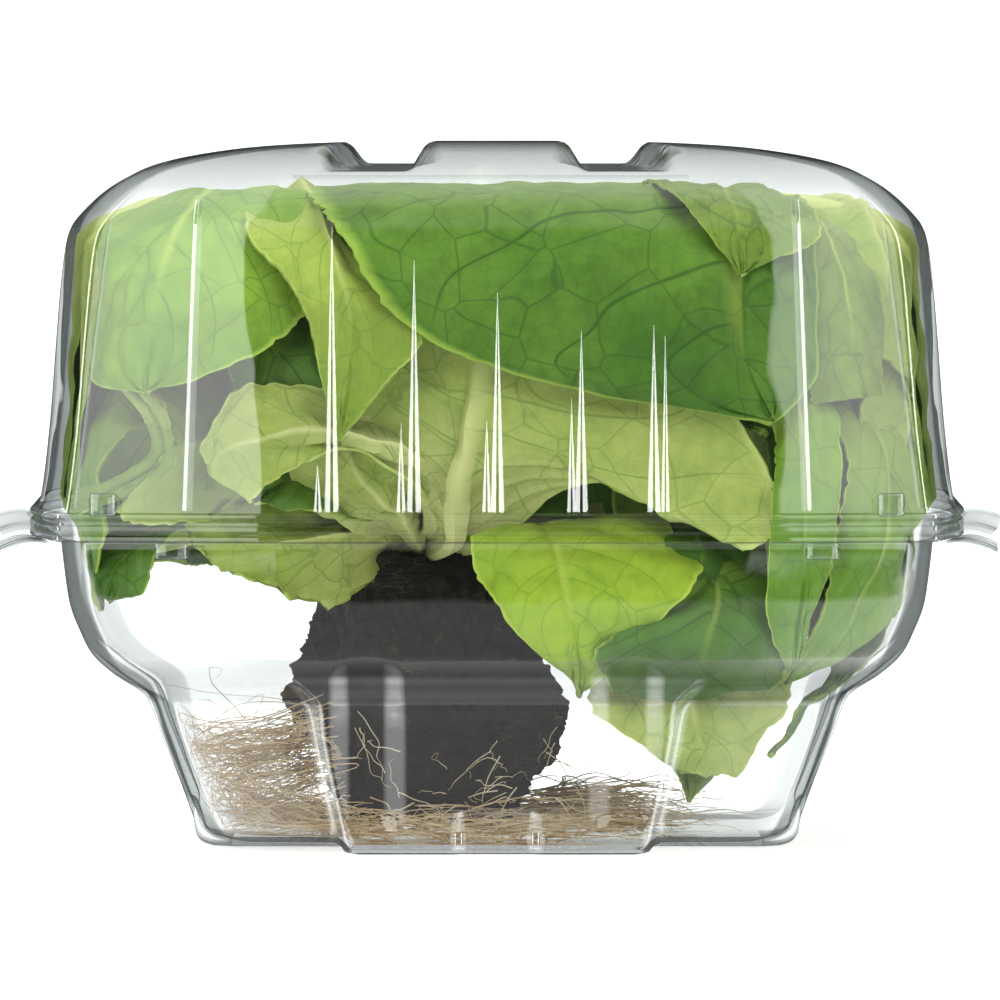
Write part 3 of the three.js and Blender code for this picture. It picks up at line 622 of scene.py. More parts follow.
PLACED_LEAVES = (
    PlacedLeaf(
        "flop_front", Tone.DEEP, root=60, layer=1.2, puff=2, wave=1.6,
        rib=((16, 14, 88), (34, 10, 114), (42, -24, 124), (44, -58, 122), (45, -70, 113),
            (45, -74, 102), (46, -76, 92), (51, -77, 82)),
        edge_a=((-14, 10, 88), (-30, 4, 114), (-36, -28, 124), (-35, -60, 124), (-30, -73, 116),
            (-17, -77, 99), (12, -78, 88), (51, -77, 81.5)),
        edge_b=((24, 14, 86), (44, 8, 110), (55, -24, 120), (58.5, -58, 118), (59.5, -69, 108),
            (59.5, -73, 98), (59, -75, 89), (51, -77, 81.5)),
    ),
    PlacedLeaf(
        "flop_left", Tone.BRIGHT, root=60, layer=2.0, puff=2, wave=1.6,
        rib=((-22, 10, 90), (-40, 4, 114), (-50, -22, 124), (-56, -52, 122), (-61, -64, 114),
            (-64, -69, 102), (-65, -71, 86.5)),
        edge_a=((-32, 14, 88), (-58, 14, 108), (-72, -18, 116), (-78, -46, 114), (-80, -56, 106),
            (-81, -58, 96), (-77, -62, 88.5), (-65, -71, 86.5)),
        edge_b=((-14, 8, 92), (-24, 0, 116), (-33, -28, 123), (-33, -54, 121), (-34.5, -64, 110),
            (-37, -68, 100), (-48, -70, 91.5), (-65, -71, 86.5)),
    ),
    PlacedLeaf(
        "dark_left", Tone.DEEP, root=61, layer=3.2, puff=1.5, wave=1.2,
        rib=((-22, 4, 96), (-36, -20, 116), (-42, -48, 110), (-41, -60, 96), (-39, -64, 77.5)),
        edge_a=((-30, 4, 94), (-50, -20, 112), (-55, -46, 104), (-51, -58, 92), (-46, -62, 78)),
        edge_b=((-16, 4, 96), (-26, -20, 114), (-26, -48, 108), (-26, -60, 94), (-28, -64, 79)),
    ),
    PlacedLeaf(
        "left_behind", Tone.PALE, root=60, layer=4, puff=1, wave=1,
        rib=((-38, -10, 84), (-48, -36, 90), (-51, -52, 82), (-51, -56, 68)),
        edge_a=((-44, -4, 84), (-56, -30, 92), (-59.5, -46, 84), (-59, -50, 68)),
        edge_b=((-32, -16, 84), (-38, -42, 90), (-41, -56, 82), (-42, -60, 68)),
    ),
    PlacedLeaf(
        "left_curl", Tone.PALE, root=60, layer=0.8, puff=1.2, wave=0.2,
        rib=((-50, -34, 96), (-64, -52, 97), (-69, -62, 91), (-64.5, -66, 84), (-62, -67, 78.5),
            (-62.8, -67, 73.5), (-69.5, -64, 69.3), (-79, -58, 65.5)),
        edge_a=((-50, -34, 99), (-66, -50, 98), (-71, -60, 90), (-66.5, -64, 83), (-64.2, -65, 77.5),
            (-65.5, -65.5, 74.4), (-71, -63, 71), (-80, -57, 67.3)),
        edge_b=((-50, -34, 93), (-62, -54, 95), (-66.5, -64, 90), (-61.6, -67.5, 84), (-59.6, -68, 77.5),
            (-60.3, -68, 71.8), (-68, -65, 67.2), (-78, -59, 63.7)),
    ),
    PlacedLeaf(
        "kite", Tone.MID, root=66, layer=0.9, puff=0.6, wave=0.7,
        rib=((-24, 4, 106), (-36, -30, 121), (-34, -56, 119), (-30, -68, 110), (-27, -73, 98),
            (-29.5, -75, 77.5)),
        edge_a=((-16, 2, 106), (-24, -30, 121), (-22, -56, 119), (-16, -67, 108), (-12.5, -73, 98),
            (-21, -74, 87), (-29.5, -75, 77.5)),
        edge_b=((-32, 4, 104), (-48, -32, 120), (-47.5, -58, 120), (-45, -68, 114), (-37, -73, 104),
            (-33.4, -74, 92), (-29.5, -75, 77.5)),
    ),
    PlacedLeaf(
        "flap_top_right", Tone.MID, root=66, layer=-0.2, puff=-0.4, wave=0.3,
        rib=((36, 4, 112), (40, -34, 124), (44, -68, 121.5), (45.2, -79, 108.5)),
        edge_a=((29, 4, 112), (27, -36, 125), (33, -70, 123.5), (45.2, -79, 108.5)),
        edge_b=((44, 4, 112), (56, -32, 122), (60, -72, 115.5), (45.2, -79, 108.5)),
    ),
    PlacedLeaf(
        "right_flap", Tone.MID, root=64, layer=0.8, puff=0.8, wave=0.5,
        rib=((46, 0, 108), (58, -36, 119), (62, -58, 115), (65, -67, 105), (66, -69, 96), (65.5, -70, 85.5)),
        edge_a=((38, -2, 108), (48, -38, 119), (53, -62, 115), (55, -69, 106), (55.5, -70, 97),
            (58.5, -72, 84.5)),
        edge_b=((56, 2, 104), (67, -32, 114), (69.5, -54, 110), (72, -61, 102), (72.5, -62, 94),
            (71.5, -64, 86)),
    ),
    PlacedLeaf(
        "corner_top_right", Tone.MID, root=64, layer=2, puff=1, wave=0.8,
        rib=((50, 8, 112), (64, -10, 119), (69, -42, 117), (72, -54, 108), (73, -56, 92)),
        edge_a=((62, 14, 106), (76, -8, 112), (80, -38, 108), (82, -42, 98), (81, -44, 84)),
        edge_b=((40, 2, 114), (54, -14, 121), (56, -46, 121), (58, -62, 113), (60, -66, 98)),
    ),
    PlacedLeaf(
        "right_back", Tone.DEEP, root=60, layer=3.2, puff=1, wave=1,
        rib=((40, -20, 90), (56, -44, 92), (64, -56, 80), (64, -58, 60), (60, -58, 42)),
        edge_a=((32, -26, 88), (44, -52, 90), (49, -62, 78), (50, -62, 60), (52, -60, 42)),
        edge_b=((48, -12, 90), (68, -36, 90), (77, -44, 78), (77, -45, 60), (69, -50, 42)),
    ),
    PlacedLeaf(
        "under_flop", Tone.DEEP, root=62, layer=2.2, puff=0.6, wave=0.8,
        rib=((30, -20, 84), (44, -56, 90), (47, -66, 82), (50, -68, 78.5)),
        edge_a=((22, -22, 86), (33, -60, 90), (36, -66, 83), (50, -68, 78.5)),
        edge_b=((36, -16, 84), (54, -54, 92), (54, -64, 86), (50, -68, 78.5)),
    ),
    PlacedLeaf(
        "outer_front", Tone.PALE, root=57.5, layer=2.6, puff=1.6, wave=1.2,
        rib=((-8, -40, 60), (-7, -52, 67), (-6, -60, 75), (-4.5, -64, 83), (-3, -66, 92),
            (-1, -64, 104), (0, -56, 116)),
        edge_a=((-14, -40, 60.5), (-15, -52, 68), (-20, -60, 75), (-26, -63, 82), (-32, -62, 92),
            (-30, -60, 104), (-20, -54, 114)),
        edge_b=((2, -42, 60), (14, -58, 68.5), (32, -66, 68), (47, -71, 57), (52, -71, 66),
            (46, -70, 80), (20, -62, 106)),
    ),
    PlacedLeaf(
        "front_left_lobe", Tone.PALE, root=58.5, layer=1, puff=1.4, wave=1.4,
        rib=((-18, -58, 74), (-34, -70, 79), (-50, -71, 76), (-53, -71, 71)),
        edge_a=((-14, -56, 68), (-26, -69, 75.5), (-38, -71, 72.5), (-45, -71, 66)),
        edge_b=((-18, -56, 84), (-34, -64, 88), (-48, -66, 88), (-55, -70, 76)),
    ),
    PlacedLeaf(
        "front_left_under", Tone.PALE, root=58, layer=2.8, puff=1.2, wave=1.2,
        rib=((-18, -44, 64), (-26, -58, 72), (-30, -60, 82)),
        edge_a=((-28, -42, 60), (-38, -56, 68), (-38, -60, 79)),
        edge_b=((-12, -46, 66), (-16, -58, 74), (-20, -60, 83)),
    ),
    PlacedLeaf(
        "low_left_dark", Tone.DEEP, root=58.5, layer=2.4, puff=0.8, wave=1,
        rib=((-28, -36, 66), (-38, -56, 70), (-45, -63, 66)),
        edge_a=((-32, -30, 72), (-42, -52, 76), (-45, -63, 66)),
        edge_b=((-24, -42, 62), (-34, -60, 64), (-45, -63, 66)),
    ),
    PlacedLeaf(
        "left_fold", Tone.MID, root=58, layer=1.4, puff=-2.5, wave=0.8,
        rib=((-36, -26, 74), (-52, -44, 76), (-57, -60, 77), (-60, -68, 77)),
        edge_a=((-34, -30, 64), (-52, -50, 62), (-66, -62, 62), (-72, -66, 64)),
        edge_b=((-40, -22, 86), (-56, -38, 90), (-66, -54, 91), (-69, -62, 89)),
    ),
    PlacedLeaf(
        "left_corner", Tone.BRIGHT, root=60, layer=1.8, puff=1, wave=1,
        rib=((-50, -20, 92), (-70, -38, 90), (-78, -46, 72), (-79, -49, 60), (-77.5, -52, 50.5)),
        edge_a=((-56, -8, 92), (-78, -20, 88), (-82, -34, 74), (-82, -40, 58), (-77.5, -52, 50.5)),
        edge_b=((-44, -30, 84), (-66, -50, 80), (-74, -56, 70), (-74, -57, 58), (-77.5, -52, 50.5)),
    ),
    PlacedLeaf(
        "left_low", Tone.DEEP, root=58, layer=1.4, puff=0.8, wave=0.6,
        rib=((-44, -30, 62), (-62, -46, 60), (-71, -53, 54), (-72.5, -54, 47.2)),
        edge_a=((-48, -26, 62), (-70, -40, 60), (-79, -47, 55), (-78, -49, 49.5), (-72.5, -54, 47.2)),
        edge_b=((-40, -34, 60), (-56, -50, 62), (-62.5, -57, 57), (-65.5, -57, 49.5), (-72.5, -54, 47.2)),
    ),
    PlacedLeaf(
        "right_upright", Tone.BRIGHT, root=58, layer=0.4, puff=0.8, wave=1,
        rib=((34, -30, 88), (50, -58, 92), (56, -71, 84), (57, -74, 70), (57, -74, 54), (55, -68, 33)),
        edge_a=((30, -34, 82), (46, -62, 88), (51, -71, 79), (51, -73, 68), (50, -72, 45),
            (55, -68, 33)),
        edge_b=((40, -26, 92), (58, -52, 96), (63, -68, 84), (64, -72, 70), (61.5, -73, 54),
            (55, -68, 33)),
    ),
    PlacedLeaf(
        "right_corner", Tone.BRIGHT, root=58, layer=1.4, puff=1, wave=1.2,
        rib=((48, -28, 92), (66, -50, 86), (73, -60, 72), (71, -62, 54), (62, -62, 38), (55, -64, 33)),
        edge_a=((42, -32, 88), (60, -60, 82), (65, -66, 70), (62, -67, 55), (58, -67, 42),
            (55, -64, 33)),
        edge_b=((54, -22, 94), (76, -38, 86), (81, -44, 72), (80, -46, 56), (74, -52, 43),
            (55, -64, 33)),
    ),
    PlacedLeaf(
        "right_pale", Tone.MID, root=62, layer=2.6, puff=1, wave=1,
        rib=((50, -20, 100), (70, -42, 98), (76, -50, 84), (74, -56, 66)),
        edge_a=((56, -14, 102), (78, -30, 98), (82, -38, 84), (81, -44, 64)),
        edge_b=((44, -26, 98), (66, -54, 97), (68, -60, 84), (64, -62, 66)),
    ),
    PlacedLeaf(
        "low_bright", Tone.YELLOW, root=58, layer=0.8, puff=1.4, wave=2.2,
        rib=((6, -44, 61), (10, -62, 60), (12, -71, 53), (14, -73, 44), (16.5, -68, 30)),
        edge_a=((-2, -46, 58), (-5, -64, 59), (-3.5, -71, 53), (3, -73, 43), (16.5, -68, 30)),
        edge_b=((24, -42, 62), (34, -60, 60), (38, -69, 52), (27, -72, 41), (16.5, -68, 30)),
    ),
    PlacedLeaf(
        "low_green", Tone.DEEP, root=58, layer=0.2, puff=1.4, wave=1.4,
        rib=((20, -40, 62), (36, -56, 58), (41, -66, 49), (39, -72, 40), (37, -68, 29)),
        edge_a=((20, -38, 58), (34, -60, 52), (27, -70, 45), (18, -74, 38.5), (22, -70, 31)),
        edge_b=((30, -30, 62), (50, -50, 61), (56, -60, 52), (56, -66, 42), (54, -66, 32)),
    ),
    # Painted shade: a dark fold leaf set where the lower leaves lie in shadow under the ledge
    PlacedLeaf(
        "low_fold", Tone.SHADED, root=58, layer=1.0, puff=-1.5, wave=0.8,
        rib=((24, -38, 62), (36, -60, 61), (37, -66, 53), (22, -71, 42)),
        edge_a=((18, -40, 58), (26, -62, 60), (26, -70, 52), (22, -71, 42)),
        edge_b=((34, -30, 62), (50, -54, 61), (48, -62, 52), (22, -71, 42)),
    ),
    PlacedLeaf(
        "low_pale", Tone.PALE, root=58, layer=0.6, puff=1.2, wave=1.4,
        rib=((6, -22, 58), (26, -30, 54), (34, -50, 42), (36, -58, 30), (38, -56, 20), (39, -52, 15)),
        edge_a=((10, -18, 58), (38, -26, 54), (52, -42, 44), (55, -52, 29), (50, -53, 22),
            (45, -51, 15)),
        edge_b=((4, -28, 58), (16, -36, 54), (18, -54, 40), (17.5, -62, 28), (25, -58, 22.5),
            (33, -52, 16)),
    ),
    PlacedLeaf(
        "low_tip", Tone.MID, root=57.5, layer=0.6, puff=0.6, wave=0.8,
        rib=((10, -16, 55), (26, -26, 38), (34, -42, 20), (36, -46, 9.5)),
        edge_a=((8, -20, 55), (19, -30, 38), (31, -44, 20), (36, -46, 9.5)),
        edge_b=((12, -12, 55), (36, -22, 38), (44, -40, 20), (36, -46, 9.5)),
    ),
    PlacedLeaf(
        "low_far_right", Tone.DEEP, root=57.5, layer=0.6, puff=0.6, wave=0.8,
        rib=((16, -10, 58), (50, -16, 48), (66, -36, 38), (60, -48, 27), (51, -48, 18)),
        edge_a=((14, -14, 58), (46, -22, 47), (62, -40, 36), (57, -49, 26), (51, -48, 18)),
        edge_b=((18, -6, 58), (54, -8, 50), (74, -26, 44), (64, -46, 30), (51, -48, 18)),
    ),
    PlacedLeaf(
        "low_left", Tone.MID, root=57.5, layer=1.2, puff=1.2, wave=1.8, ragged=2.4,
        rib=((-30, -36, 58), (-42, -50, 58), (-57, -56, 58)),
        edge_a=((-30, -46, 45.5), (-46, -53, 50.5), (-57, -56, 57)),
        edge_b=((-28, -30, 66), (-44, -46, 68), (-58, -54, 62)),
    ),
)


def fanned(
    stations: Points,
    turn: float,
    half: float,
    share: float,
    lift: float = 0,
    cup: float = 0,
    shift: float = 0,
) -> Points:
    """Points along a leaf that runs outwards, at one share of its width.

    Args:
        stations: Reach outwards, share of the full width, and height.
        turn: Direction in degrees.
        half: Half the leaf's width.
        share: Place across, from -1 to 1.
        lift: How much higher the point lies where the leaf is widest.
        cup: How far the edges curl inwards, as a share of their distance from the rib.
        shift: How far the leaf's root lies along X.

    Returns:
        One point a station.
    """
    angle = math.radians(turn)
    points = []
    for reach, width, height in stations:
        aside = share * width * half
        inward = reach - abs(aside) * cup
        x = shift + inward * math.cos(angle) + aside * math.sin(angle)
        points.append((x, inward * math.sin(angle) - aside * math.cos(angle), height + lift * width))
    return tuple(points)


@dataclass(frozen=True)
class WrappedLeaf:
    """A leaf that rises from the heart, turns over under the lid and hangs down along the wall."""

    turn: float
    root: float
    drop: float
    half: float
    layer: float
    tone: Tone

    def placed(self, number: int) -> PlacedLeaf:
        """The leaf's rib and edges.

        Args:
            number: Tells the leaves apart in their names.

        Returns:
            The placed leaf.
        """
        stations = (
            (14, 0.35, 86), (34, 0.75, 112), (66, 0.98, 118), (88, 1, 104),
            (92, 0.95, (104 + self.drop) / 2 + 6), (94, 0.72, self.drop + 8), (90, 0.12, self.drop),
        )  # fmt: skip
        rib = fanned(stations, self.turn, self.half, 0)
        edges = [fanned(stations, self.turn, self.half, share, lift=-4) for share in (-1, 1)]
        return PlacedLeaf(f"wrapped_{number}", self.tone, self.root, self.layer, 2, 2, rib, *edges)


@dataclass(frozen=True)
class HeartLeaf:
    """A cupped leaf that stands in the middle of the head."""

    turn: float
    root: float
    lean: float
    top: float
    half: float

    def placed(self, number: int) -> PlacedLeaf:
        """The leaf's rib and edges.

        Args:
            number: Tells the leaves apart in their names.

        Returns:
            The placed leaf.
        """
        stations = (
            (self.lean * 0.5, 0.4, 74), (self.lean, 0.85, 88), (self.lean * 1.25, 1, 102),
            (self.lean, 0.75, (self.top + 102) / 2 + 3), (self.lean * 0.7, 0.1, self.top),
        )  # fmt: skip
        lines = [fanned(stations, self.turn, self.half, share, cup=0.45, shift=-4) for share in (0, -1, 1)]
        return PlacedLeaf(f"heart_{number}", Tone.PALE, self.root, 0, 2, 1.6, *lines)


@dataclass
class Head:
    """The head of leaves on its short stem. Millimetres."""

    finishes: Finishes
    room: Room
    stem: tuple[float, float] = (-15.0, -13.0)
    stem_foot: float = 50.0
    stem_height: float = 16.5
    stem_radius: Profile = ((50, 5.6), (53, 6.4), (62, 7.6), (65, 6.0), (66.5, 0.0))
    root_out: float = 3.0
    root_half: float = 3.4
    edge_waves: float = 2.6
    blade_mm: float = 0.55
    rib_mm: float = 4.6
    step_mm: float = 1.5
    hidden_step: float = 1.9
    relief_mm: float = 0.8
    full_relief_breadth: float = 18.0
    nudge: float = 0.004
    wrapped: tuple[WrappedLeaf, ...] = (
        WrappedLeaf(58, 61, 50, 34, 1.4, Tone.MID),
        WrappedLeaf(92, 58.5, 40, 40, 0.5, Tone.DEEP),
        WrappedLeaf(130, 60, 50, 36, 2.2, Tone.BRIGHT),
        WrappedLeaf(12, 59, 42, 34, 0.6, Tone.DEEP),
        WrappedLeaf(170, 59, 44, 34, 0.8, Tone.MID),
        WrappedLeaf(-18, 60, 58, 28, 2.6, Tone.DEEP),
        WrappedLeaf(197, 60, 58, 28, 2.6, Tone.DEEP),
    )
    heart: tuple[HeartLeaf, ...] = (
        HeartLeaf(250, 62, 26, 116, 27),
        HeartLeaf(25, 62, 30, 118, 28),
        HeartLeaf(140, 63, 26, 119, 27),
        HeartLeaf(310, 63, 16, 112, 22),
        HeartLeaf(80, 63, 12, 108, 18),
    )

    def build(self) -> None:
        """Builds the stem and every leaf."""
        leaves = list(PLACED_LEAVES)
        leaves += [leaf.placed(k) for k, leaf in enumerate(self.wrapped)]
        leaves += [leaf.placed(k) for k, leaf in enumerate(self.heart)]
        for number, leaf in enumerate(leaves):
            hand_over(self.leaf(leaf, number), "base", "lettuce_head")
        hand_over(self.stem_piece(), "base", "lettuce_head")

    def curves(self, leaf: PlacedLeaf) -> tuple[np.ndarray, np.ndarray, np.ndarray]:
        """The rib and the two edges, each begun at the stem.

        Args:
            leaf: The leaf.

        Returns:
            Points of the rib, of edge a and of edge b.
        """
        rib, edge_a, edge_b = (np.array(line, float) for line in (leaf.rib, leaf.edge_a, leaf.edge_b))
        out = unit(rib[0, :2] - np.array(self.stem))
        root = np.array([*(np.array(self.stem) + self.root_out * out), leaf.root])
        side = unit(edge_b[0] - edge_a[0]) * self.root_half
        return np.vstack([root, rib]), np.vstack([root - side, edge_a]), np.vstack([root + side, edge_b])

    def surface(self, leaf: PlacedLeaf, u: np.ndarray, v: np.ndarray) -> np.ndarray:
        """Points of the leaf's middle surface without its fine relief, kept inside the box.

        Args:
            leaf: The leaf.
            u: Share of the way from the stem to the tip.
            v: Share of the way across, from -1 at edge a to 1 at edge b.

        Returns:
            Places in millimetres.
        """
        rib, edge_a, edge_b = self.curves(leaf)
        middle = smooth_curve(rib, u)
        first = smooth_curve(edge_a, u)
        second = smooth_curve(edge_b, u)
        along = unit(smooth_curve(rib, np.minimum(u + 0.01, 1)) - smooth_curve(rib, np.maximum(u - 0.01, 0)))
        up = unit(np.cross(along, second - first))
        share = np.abs(v)
        edge = np.where((v > 0)[:, None], second, first)
        swell = leaf.puff * 4 * share * (1 - share) * np.minimum(1, 3 * u) * (1 - u**4)
        phase = np.where(v < 0, 0, 2) + leaf.root
        ripple = np.sin(2 * math.pi * self.edge_waves * u + phase)
        ripple = leaf.wave * share**3 * np.minimum(1, 2 * u) * ripple
        points = middle + (edge - middle) * share[:, None] + up * (swell + ripple)[:, None]
        return self.room.keep(points, leaf.layer)

    def normals(self, leaf: PlacedLeaf, u: np.ndarray, v: np.ndarray) -> np.ndarray:
        """Directions square to the leaf's upper face.

        Args:
            leaf: The leaf.
            u: Share of the way from the stem to the tip.
            v: Share of the way across.

        Returns:
            Vectors of length 1.
        """
        du = self.surface(leaf, np.minimum(u + self.nudge, 1), v)
        du -= self.surface(leaf, np.maximum(u - self.nudge, 0), v)
        dv = self.surface(leaf, u, np.minimum(v + self.nudge, 1))
        dv -= self.surface(leaf, u, np.maximum(v - self.nudge, -1))
        return unit(np.cross(du, dv))

    def leaf(self, leaf: PlacedLeaf, number: int) -> bpy.types.Object:
        """Shapes one leaf with its rib, veins and puckers.

        Args:
            leaf: The leaf.
            number: Varies the small shapes from leaf to leaf.

        Returns:
            The finished piece.
        """
        rib, edge_a, edge_b = self.curves(leaf)
        length = np.linalg.norm(np.diff(rib, axis=0), axis=1).sum()
        breadth = np.linalg.norm(edge_b - edge_a, axis=1).max()
        hidden = leaf.name.startswith(("wrapped", "heart"))
        step = self.step_mm * (self.hidden_step if hidden else 1.0)
        across = int(np.clip(breadth / step, 14, 84)) // 2 * 2
        piece = grid_piece(f"leaf_{leaf.name}", across, int(np.clip(length / step, 24, 110)))
        flat = coordinates(piece)
        v = -flat[:, 0]
        u = (flat[:, 1] + 1) / 2
        share = np.abs(v)

        def on_blade(width: float) -> np.ndarray:
            """Places on the leaf laid flat, at the given width for each unit of v."""
            return np.column_stack([u * length, v * width, u * 0])

        # The margin is bitten and toothed by fractions of a millimetre
        tooth = waver(on_blade(9), 5.0, number) * 0.6 + waver(on_blade(5), 1.9, number + 5) * 0.5
        bite = np.clip(leaf.ragged * (0.6 + tooth) / max(breadth / 2, 4), 0, 0.5)
        pull = 1 - bite * smooth_step(0.86, 1, share)
        # Seven side veins leave the rib on each side and sweep towards the tip
        flow = 7.0 * (u - 0.26 * share**1.3) + 0.42 * (v < 0) + 0.13 * number
        flow = flow + 0.10 * waver(on_blade(breadth / 2), 26, number + 2)
        base = self.surface(leaf, u, v * pull)
        relief = self.relief(base, flow, u, share, number)
        depth = self.relief_mm * min(1, breadth / self.full_relief_breadth)
        place_points(piece, base + self.normals(leaf, u, v) * relief[:, None] * depth)
        self.thicken(piece, u, v, breadth)
        self.map_leaf(piece, flow, share)
        piece.data.materials.append(self.finishes.upper[leaf.tone])
        piece.data.materials.append(self.finishes.lower[leaf.tone])
        apply_modifier(
            piece,
            "SOLIDIFY",
            thickness=self.rib_mm * MM,
            offset=-1.0,
            vertex_group="rib",
            use_rim=True,
            use_even_offset=False,
            material_offset=1,
            material_offset_rim=0,
        )
        smooth(piece, 60)
        return piece

    def relief(
        self, base: np.ndarray, flow: np.ndarray, u: np.ndarray, share: np.ndarray, number: int
    ) -> np.ndarray:
        """The blade's swellings between its veins, its puckers and the crease over its rib.

        Args:
            base: Places on the smooth leaf, in millimetres.
            flow: Vein coordinate, a whole number on each side vein.
            u: Share of the way from the stem to the tip.
            share: Share of the way from the rib to the margin.
            number: Varies the puckers from leaf to leaf.

        Returns:
            Heights as shares of the full relief.
        """
        away = np.abs(flow - np.round(flow))
        open_blade = smooth_step(0.02, 0.16, share) * (1 - smooth_step(0.8, 1, share))
        quilt = (smooth_step(0.0, 0.22, away) - 0.6) * 0.75 * open_blade * smooth_step(0.05, 0.3, u)
        pucker = 0.55 * waver(base, 13, number) + 0.28 * waver(base, 6, number + 3)
        crease = -0.5 * (1 - smooth_step(0.0, 0.06, share))
        outwards = smooth_step(0.1, 0.4, u)
        return quilt + pucker * outwards + crease * outwards

    def thicken(self, piece: bpy.types.Object, u: np.ndarray, v: np.ndarray, breadth: float) -> None:
        """Weights the leaf's thickness: a rounded rib underneath that fades towards the tip.

        Args:
            piece: The leaf's middle surface.
            u: Share of the way to the tip at each point.
            v: Share of the way across at each point.
            breadth: The leaf's full width in millimetres.
        """
        across = v * breadth / 2
        rib = np.exp(-((across / (1.2 + 2.6 * (1 - u))) ** 2)) * (1 - smooth_step(0.35, 0.95, u))
        thick = self.blade_mm + (self.rib_mm - self.blade_mm) * rib * (0.35 + 0.65 * (1 - u))
        group = piece.vertex_groups.new(name="rib")
        for index, weight in enumerate((thick / self.rib_mm).tolist()):
            group.add((index,), weight, "REPLACE")

    def map_leaf(self, piece: bpy.types.Object, flow: np.ndarray, share: np.ndarray) -> None:
        """Gives the leaf its two maps: place on the leaf, and flow of the veins.

        Args:
            piece: The leaf's middle surface.
            flow: Vein coordinate at each point, a whole number on each side vein.
            share: Share of the way from the rib to the margin at each point.
        """
        piece.data.uv_layers[0].name = "leaf"
        corners = np.empty(len(piece.data.loops), dtype=int)
        piece.data.loops.foreach_get("vertex_index", corners)
        veins = piece.data.uv_layers.new(name="veins")
        veins.uv.foreach_set("vector", np.column_stack([flow[corners], share[corners]]).ravel())

    def stem_piece(self) -> bpy.types.Object:
        """Shapes the short pale stem that stands in the peat.

        Returns:
            The finished piece.
        """
        piece = grid_piece("stem", 40, 24)
        flat = coordinates(piece)
        around = flat[:, 0] * math.pi
        height = self.stem_foot + self.stem_height * (flat[:, 1] + 1) / 2
        radius = np.interp(height, *np.array(self.stem_radius).T)
        radius = radius * (1 + 0.05 * np.sin(5 * around + height * 0.2))
        radius = np.where(flat[:, 1] < -0.999, 0, radius)
        x = self.stem[0] + radius * np.cos(around)
        y = self.stem[1] + radius * np.sin(around)
        place_points(piece, np.column_stack([x, y, height]))
        plain = 0.5 + 0 * height
        self.map_leaf(piece, plain, plain)
        close_seams(piece)
        piece.data.materials.append(self.finishes.lower[Tone.PALE])
        smooth(piece)
        return piece


@dataclass
class PeatBlock:
    """The pressed peat block, tilted and crumbling at its edges. Millimetres.

    Each level holds height, middle along X and Y, half sizes along X and Y, and turn in degrees.
    """

    finish: bpy.types.Material
    levels: tuple[tuple[float, ...], ...] = (
        (4.8, -13.5, -17, 13.5, 16, 12), (8, -13, -18, 16, 19, 12), (16.7, -11.8, -18.5, 20, 23, 14),
        (26.5, -13, -19, 25, 25, 16), (37, -15, -18, 19.5, 21.5, 17), (47, -16, -16, 15.2, 18, 18),
        (55.2, -17, -14, 12.8, 13.5, 18),
    )  # fmt: skip
    middle: Point = (-16, -17, 28)
    end_share: float = 0.12
    squareness: int = 5
    lumps: Points = ((0.8, 11, 1), (0.6, 4.5, 4), (0.45, 2.0, 7))
    crumb_size: float = 2.2
    crumb_depth: float = 1.6

    def build(self) -> None:
        """Builds the block."""
        piece = grid_piece("peat_block", 200, 150)
        flat = coordinates(piece)
        around = flat[:, 0] * math.pi
        share = (flat[:, 1] + 1) / 2
        table = np.array(self.levels)
        side = np.clip((share - self.end_share) / (1 - 2 * self.end_share), 0, 1)
        height = table[0, 0] + (table[-1, 0] - table[0, 0]) * side
        x, y, half_x, half_y, turn = (np.interp(height, table[:, 0], column) for column in table.T[1:])
        cap = np.minimum(np.minimum(share, 1 - share) / self.end_share, 1)
        power = self.squareness
        square = 1 / (np.abs(np.cos(around)) ** power + np.abs(np.sin(around)) ** power) ** (1 / power)
        px = np.cos(around) * square * half_x * cap
        py = np.sin(around) * square * half_y * cap
        cos, sin = np.cos(np.radians(turn)), np.sin(np.radians(turn))
        points = np.column_stack([x + px * cos - py * sin, y + px * sin + py * cos, height])
        out = unit(points - np.array(self.middle))
        rough = sum(depth * waver(points, width, seed) for depth, width, seed in self.lumps)
        place_points(piece, points + out * (rough * 1.15 - 0.7)[:, None])
        close_seams(piece)
        grain = bpy.data.textures.new("peat_crumbs", "CLOUDS")
        grain.noise_scale = self.crumb_size * MM
        grain.noise_depth = 3
        way = {"texture": grain, "texture_coords": "LOCAL", "mid_level": 0.6}
        apply_modifier(piece, "DISPLACE", strength=self.crumb_depth * MM, **way)
        piece.data.materials.append(self.finish)
        smooth(piece, 80)
        hand_over(piece, "base", "growing_plug")


